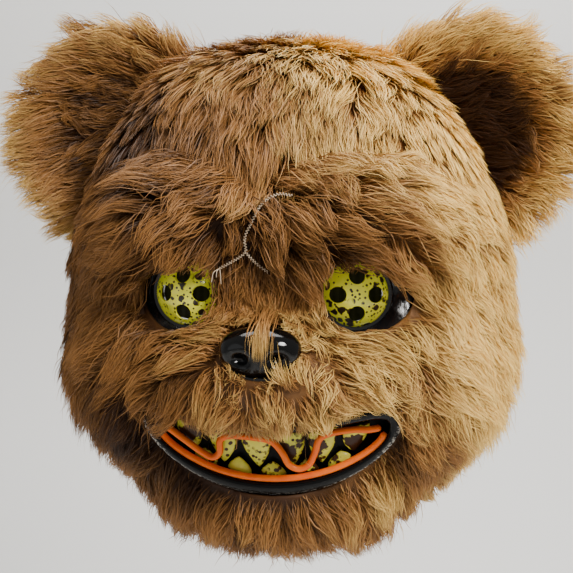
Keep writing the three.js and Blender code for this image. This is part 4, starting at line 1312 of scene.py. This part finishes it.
for number, row in enumerate(PLUSH_PIECES):
    name = row["name"]
    rng = np.random.default_rng(11 + number)
    panel = PANEL_NAMES.index(row["node"])
    hairs = face_pile(rng, row, panel)
    pile = pile_mesh(name, rng, hairs, hairs["paths"], hairs["normals"], tan_and_light_at(hairs["roots"]))
    made = joined(cloth_of(name, panel), new_object(name + "_pile", pile, plush))
    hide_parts(row["node"])
    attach(made, "root")


# The brow seam.
# The right brow panel's cut edge laps over the left one and is overlocked in tan thread, which shows as a row
# of small loops in a parting of the pile. Loose thread ends hang from its lower end.

STITCH_PITCH = 0.0016
STITCH_REACH = 0.0006
THREAD_RADIUS = 0.00024

thread = Finish("tan_overlock_thread", (0.8, 0.66, 0.48), 0.7, Sheen_Weight=0.3)
thread.feed("Base Color", thread.mix(thread.noise(900, 2), (0.46, 0.31, 0.18), (0.85, 0.7, 0.5)))
thread.bump(thread.noise(3200, 2), 0.5, 0.0002)


def overlock(middle):
    """A thread that winds round a seam's middle line."""
    steps = np.linalg.norm(np.diff(middle, axis=0), axis=1)
    reached = np.append(0, np.cumsum(steps))
    spots = np.arange(0, reached[-1], STITCH_PITCH / 8)
    line = np.stack([np.interp(spots, reached, middle[:, axis]) for axis in range(3)], axis=-1)
    way = unit(np.gradient(line, axis=0))
    out = np.array([0.0, -1.0, 0.0])
    side = unit(np.cross(way, out))
    turned = (spots / STITCH_PITCH * 2 * math.pi)[:, None]
    return line + side * np.sin(turned) * STITCH_REACH + out * np.cos(turned) * STITCH_REACH * 0.5


seam_parts = [
    piece_from(tube_along(overlock(middle), THREAD_RADIUS, 5), f"seam_part_{number}", thread)
    for number, middle in enumerate(SEAMS)
]
seam_end = SEAMS[0][-1]
for number, (sideways, down) in enumerate(((-0.004, -0.007), (0.001, -0.008), (-0.0015, -0.0045))):
    hung = [
        seam_end,
        seam_end + np.array([sideways * 0.7, -0.0025, down * 0.3]),
        seam_end + np.array([sideways, -0.002, down]),
    ]
    loose = tube_along(smooth_route(hung, 12), THREAD_RADIUS, 5)
    seam_parts.append(piece_from(loose, f"loose_end_{number}", thread))
seam = joined(*seam_parts)
seam.name = "brow_seam_thread"
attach(seam, "root")


# Ears.
# Two round ears sewn from the same plush and stuffed with wadding, cupped forwards, furry on both faces, with
# short dark pile in the cup, its darkness partly its own colour and partly painted shade of the hollow, and
# long tan pile round the rim.

EAR_HAIRS = 16000
# For each level of an ear's locks: how many there are, how far they stray, how wavy they are, and how
# strongly they are drawn to the level before.
EAR_LOCK_LEVELS = ((64, 0.6, 0.9, None), (420, 0.4, 0.9, (0.3, 0.7)), (EAR_HAIRS, 0.22, 0.35, (0.55, 0.92)))
PROBE = 0.01


def ear_frame(side):
    out = Vector((side * math.sin(EAR_SLANT), 0, math.cos(EAR_SLANT)))
    front = Vector((0, -1, 0))
    chord = out.cross(front)
    turn = Matrix((chord, out, front)).transposed().to_4x4()
    return Matrix.Translation((side * EAR_OUT, EAR_BACK, HEAD_CENTRE[2] + EAR_UP)) @ turn


def ear_points(angle, share, face):
    """Places on an ear's surface, for face -1 behind to 1 in front, in its own frame."""
    c, s = np.cos(angle), np.sin(angle)
    height = np.where(s > 0, EAR_HEIGHT, EAR_ROOT)
    x = EAR_HALF_CHORD * np.sign(c) * np.abs(c) ** (2 / EAR_SQUARENESS) * share
    y = height * np.sign(s) * np.abs(s) ** (2 / EAR_SQUARENESS) * share
    half = 0.5 * EAR_THICKNESS * np.sqrt(np.clip(1 - share**6, 0, 1)) * (0.84 + 0.16 * share)
    return np.stack([x, y, EAR_CUP * (share**2 - 0.55) + face * half], axis=-1)


def ear_pad():
    def place(across, along):
        share = 1 - np.abs(2 * along - 1)
        share = np.sin(share * math.pi / 2)
        return ear_points(across * 2 * math.pi, share, np.where(along < 0.5, 1.0, -1.0))

    return outward(shaped_grid(64, 40, place))


def above_head(places):
    """How far places lie outside the plush cloth's outer face, measured from the head's centre."""
    aims = unit(places - HEAD_CENTRE)
    reach = np.linalg.norm(face_points(aims) - HEAD_CENTRE, axis=1) + GLUE_GAP + PLUSH_WALL
    return aims, reach, np.linalg.norm(places - HEAD_CENTRE, axis=1) - reach


for side, label in ((-1, "left"), (1, "right")):
    rng = np.random.default_rng(30 + side)
    place = ear_frame(side)
    turn, move = np.array(place)[:3, :3], np.array(place)[:3, 3]
    pad_bm = ear_pad()
    bmesh.ops.transform(pad_bm, matrix=place, verts=pad_bm.verts)
    spots = np.array([vert.co for vert in pad_bm.verts])
    aims, reach, outside = above_head(spots)
    for vert, aim, radius, gap in zip(pad_bm.verts, aims, reach, outside):
        if gap < GLUE_GAP:
            vert.co = HEAD_CENTRE + aim * (radius + GLUE_GAP)
    pad = piece_from(outward(pad_bm), f"ear_pad_{label}", plush)
    shade_cloth(pad.data, lambda places: np.full(len(places), 0.05))
    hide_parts(f"ear_{label}")
    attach(pad, "root")

    levels = []
    for count, wild, wavy, pull in EAR_LOCK_LEVELS:
        angle = rng.uniform(-0.22 * np.pi, 1.22 * np.pi, count)
        share = np.sqrt(rng.uniform(0.0, 1.0, count))
        face = rng.choice([-1.0, 1.0], count)
        roots = ear_points(angle, share, face)
        down = ear_points(angle, np.clip(share - PROBE, 0, 1), face)
        along = ear_points(angle + PROBE, share, face)
        normals = unit(np.cross(along - roots, roots - down))
        normals *= np.sign(normals[:, 2] * face)[:, None]
        edge = eased(share, 0.8, 1.0)
        away = unit(roots * (1, 1, 0) + (0, EAR_ROOT * 1.2, 0))
        normals = unit(normals + 0.5 * away * edge[:, None])
        combs = away * (1, 1, 0) + np.array([0.3 * side, 0, -0.62]) @ turn
        combs = unit(combs - (combs * normals).sum(1, keepdims=True) * normals)
        inner = (face > 0) * (1 - eased(share, 0.5, 0.78))
        lengths = (0.042 - 0.016 * inner) * rng.uniform(0.7, 1.12, count)
        rise = (0.5 + 0.5 * edge * (face > 0)) * rng.uniform(0.8, 1.2, count)
        paths = grown(rng, roots, normals, combs, lengths, rise, wild, wavy, 0)
        kept = dict(roots=roots, normals=normals, share=share, inner=inner)
        add_level(rng, levels, paths, pull, 1, 0.25, 0.6, 0.55, **kept)
    rooted = above_head(levels[-1]["roots"] @ turn.T + move)[2] > 0
    hairs = {key: values[rooted] for key, values in levels[-1].items()}
    # Lighter on the right ear and darker on the left, partly painted light and shade; the cup's dark pile is
    # partly painted shade of the hollow, most on the right ear.
    tan = 0.38 + 0.12 * side + 0.3 * eased(hairs["share"], 0.7, 1.0) - (0.66 + 0.28 * side) * hairs["inner"]
    placed = hairs["paths"] @ turn.T + move
    pile = pile_mesh(f"ear_pile_{label}", rng, hairs, placed, hairs["normals"] @ turn.T, tan)
    made = new_object(f"ear_pile_{label}", pile, plush)
    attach(made, "root")


# The elastic band.
# One woven black band round the back of the head, and one from the crown down to its middle, where they are
# box stitched together. Their ends are glued to the inside of the plastic.

STRAP_WIDTH, STRAP_WALL = 0.025, 0.0016
STRAP_REACH, STRAP_UP, STRAP_OVERLAP = 0.098, 0.006, 0.016
STRAP_INSET = WALL + 2 * GLUE_GAP + STRAP_WALL / 2
RIB_PITCH, PICK_PITCH = 0.0011, 0.0009
BOX_STITCHES, BOX_THREAD_RADIUS = 7, 0.0003

elastic = Finish("black_woven_elastic", (0.005, 0.005, 0.006), 0.8, Specular_IOR_Level=0.25)
laid = elastic.node("ShaderNodeAttribute", {"attribute_name": "weave"}, output="Vector")
axes = elastic.node("ShaderNodeSeparateXYZ", Vector=laid)
picks = (axes * (2 * math.pi / PICK_PITCH)).math("SINE")
ribs = (Value(elastic.tree, axes.socket.node.outputs["Y"]) * (2 * math.pi / RIB_PITCH)).math("SINE")
woven = picks * ribs * 0.5 + 0.5
elastic.feed("Base Color", elastic.mix(woven, (0.003, 0.003, 0.003), (0.014, 0.014, 0.015)))
elastic.bump(woven + elastic.noise(700, 2) * 0.4, 0.7, 0.0004)


def strap_anchor(turn, in_from_rim):
    aim = aims_from(rim_angle(turn) - in_from_rim / ((HALF_WIDTH + CROWN_RISE) / 2), turn)
    return face_points(aim) - STRAP_INSET * face_normals(aim)


def band(name, middles, wide):
    """A flat band with rounded edges along a route, its width along wide, with its weave's coordinates."""
    steps = 120
    route = smooth_route(middles, steps + 1)
    length = np.append(0, np.cumsum(np.linalg.norm(np.diff(route, axis=0), axis=1)))
    thick = unit(np.cross(np.gradient(route, axis=0), wide))

    def place(across, along):
        index = np.clip(np.round(along * (steps + 2)).astype(int) - 1, 0, steps)
        closed = ((along > 0) & (along < 1))[:, None]
        c, s = np.cos(across * 2 * math.pi), np.sin(across * 2 * math.pi)
        sideways = (STRAP_WIDTH / 2 * np.sign(c) * np.abs(c) ** 0.35)[:, None]
        outwards = (STRAP_WALL / 2 * np.sign(s) * np.abs(s) ** 0.6)[:, None]
        return route[index] + closed * (wide * sideways + thick[index] * outwards)

    bm = outward(shaped_grid(36, steps + 2, place))
    shares = bm.verts.layers.float_vector["shares"]
    weave = bm.verts.layers.float_vector.new("weave")
    for vert in bm.verts:
        index = min(max(round(vert[shares][1] * (steps + 2)) - 1, 0), steps)
        vert[weave] = (length[index], float(np.dot(np.array(vert.co) - route[index], wide)), 0)
    return piece_from(bm, name, elastic)


UPRIGHT, LEVEL = np.array([0.0, 0.0, 1.0]), np.array([1.0, 0.0, 0.0])
side_turn = math.pi / 2 - math.asin(STRAP_UP / HALF_WIDTH)
held, leaving = strap_anchor(side_turn, STRAP_OVERLAP), strap_anchor(side_turn, 0)
half_turn = np.linspace(0, math.pi, 25)
around = np.stack(
    [
        leaving[0] * np.cos(half_turn),
        leaving[1] + (STRAP_REACH - STRAP_WALL / 2 - leaving[1]) * np.sin(half_turn) ** 0.8,
        np.full(25, leaving[2]),
    ],
    axis=-1,
)
hoop = band("elastic_band", [held, *around, held * (-1, 1, 1)], UPRIGHT)
crown = [strap_anchor(0.0, inward) for inward in (STRAP_OVERLAP, STRAP_OVERLAP / 2, 0)]
foot = np.array([0, STRAP_REACH - STRAP_WALL * 1.7, leaving[2] - STRAP_WIDTH * 0.4])
quarter = np.linspace(0, math.pi / 2, 13)[1:]
rim = crown[2]
crown += [
    np.array([0, rim[1] + (foot[1] - rim[1]) * math.sin(a), foot[2] + (rim[2] - foot[2]) * math.cos(a)])
    for a in quarter
]
crown_band = band("crown_band", crown, LEVEL)

box_half = STRAP_WIDTH * 0.38
corners = [(-1, -1), (1, -1), (1, 1), (-1, 1)]
stitch_lines = [(corners[n - 1], corners[n]) for n in range(4)] + [corners[0::2], corners[1::2]]
stitches = []
for number, (start, end) in enumerate(stitch_lines):
    for place in range(BOX_STITCHES):
        ends = []
        for share in (place / BOX_STITCHES + 0.02, place / BOX_STITCHES + 0.12):
            across, up = (a + (b - a) * share for a, b in zip(start, end))
            ends.append((across * box_half, STRAP_REACH + 0.0001, leaving[2] + up * box_half))
        loop = smooth_route([ends[0], np.mean(ends, axis=0) + (0, 0.0004, 0), ends[1]], 5)
        stitch = tube_along(loop, BOX_THREAD_RADIUS, 6)
        stitches.append(piece_from(stitch, f"stitch_{number}_{place}", elastic))
for piece in (joined(hoop, crown_band), joined(*stitches)):
    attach(piece, "root")
hoop.name = "elastic_bands"
stitches[0].name = "box_stitches"
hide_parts("head_strap")
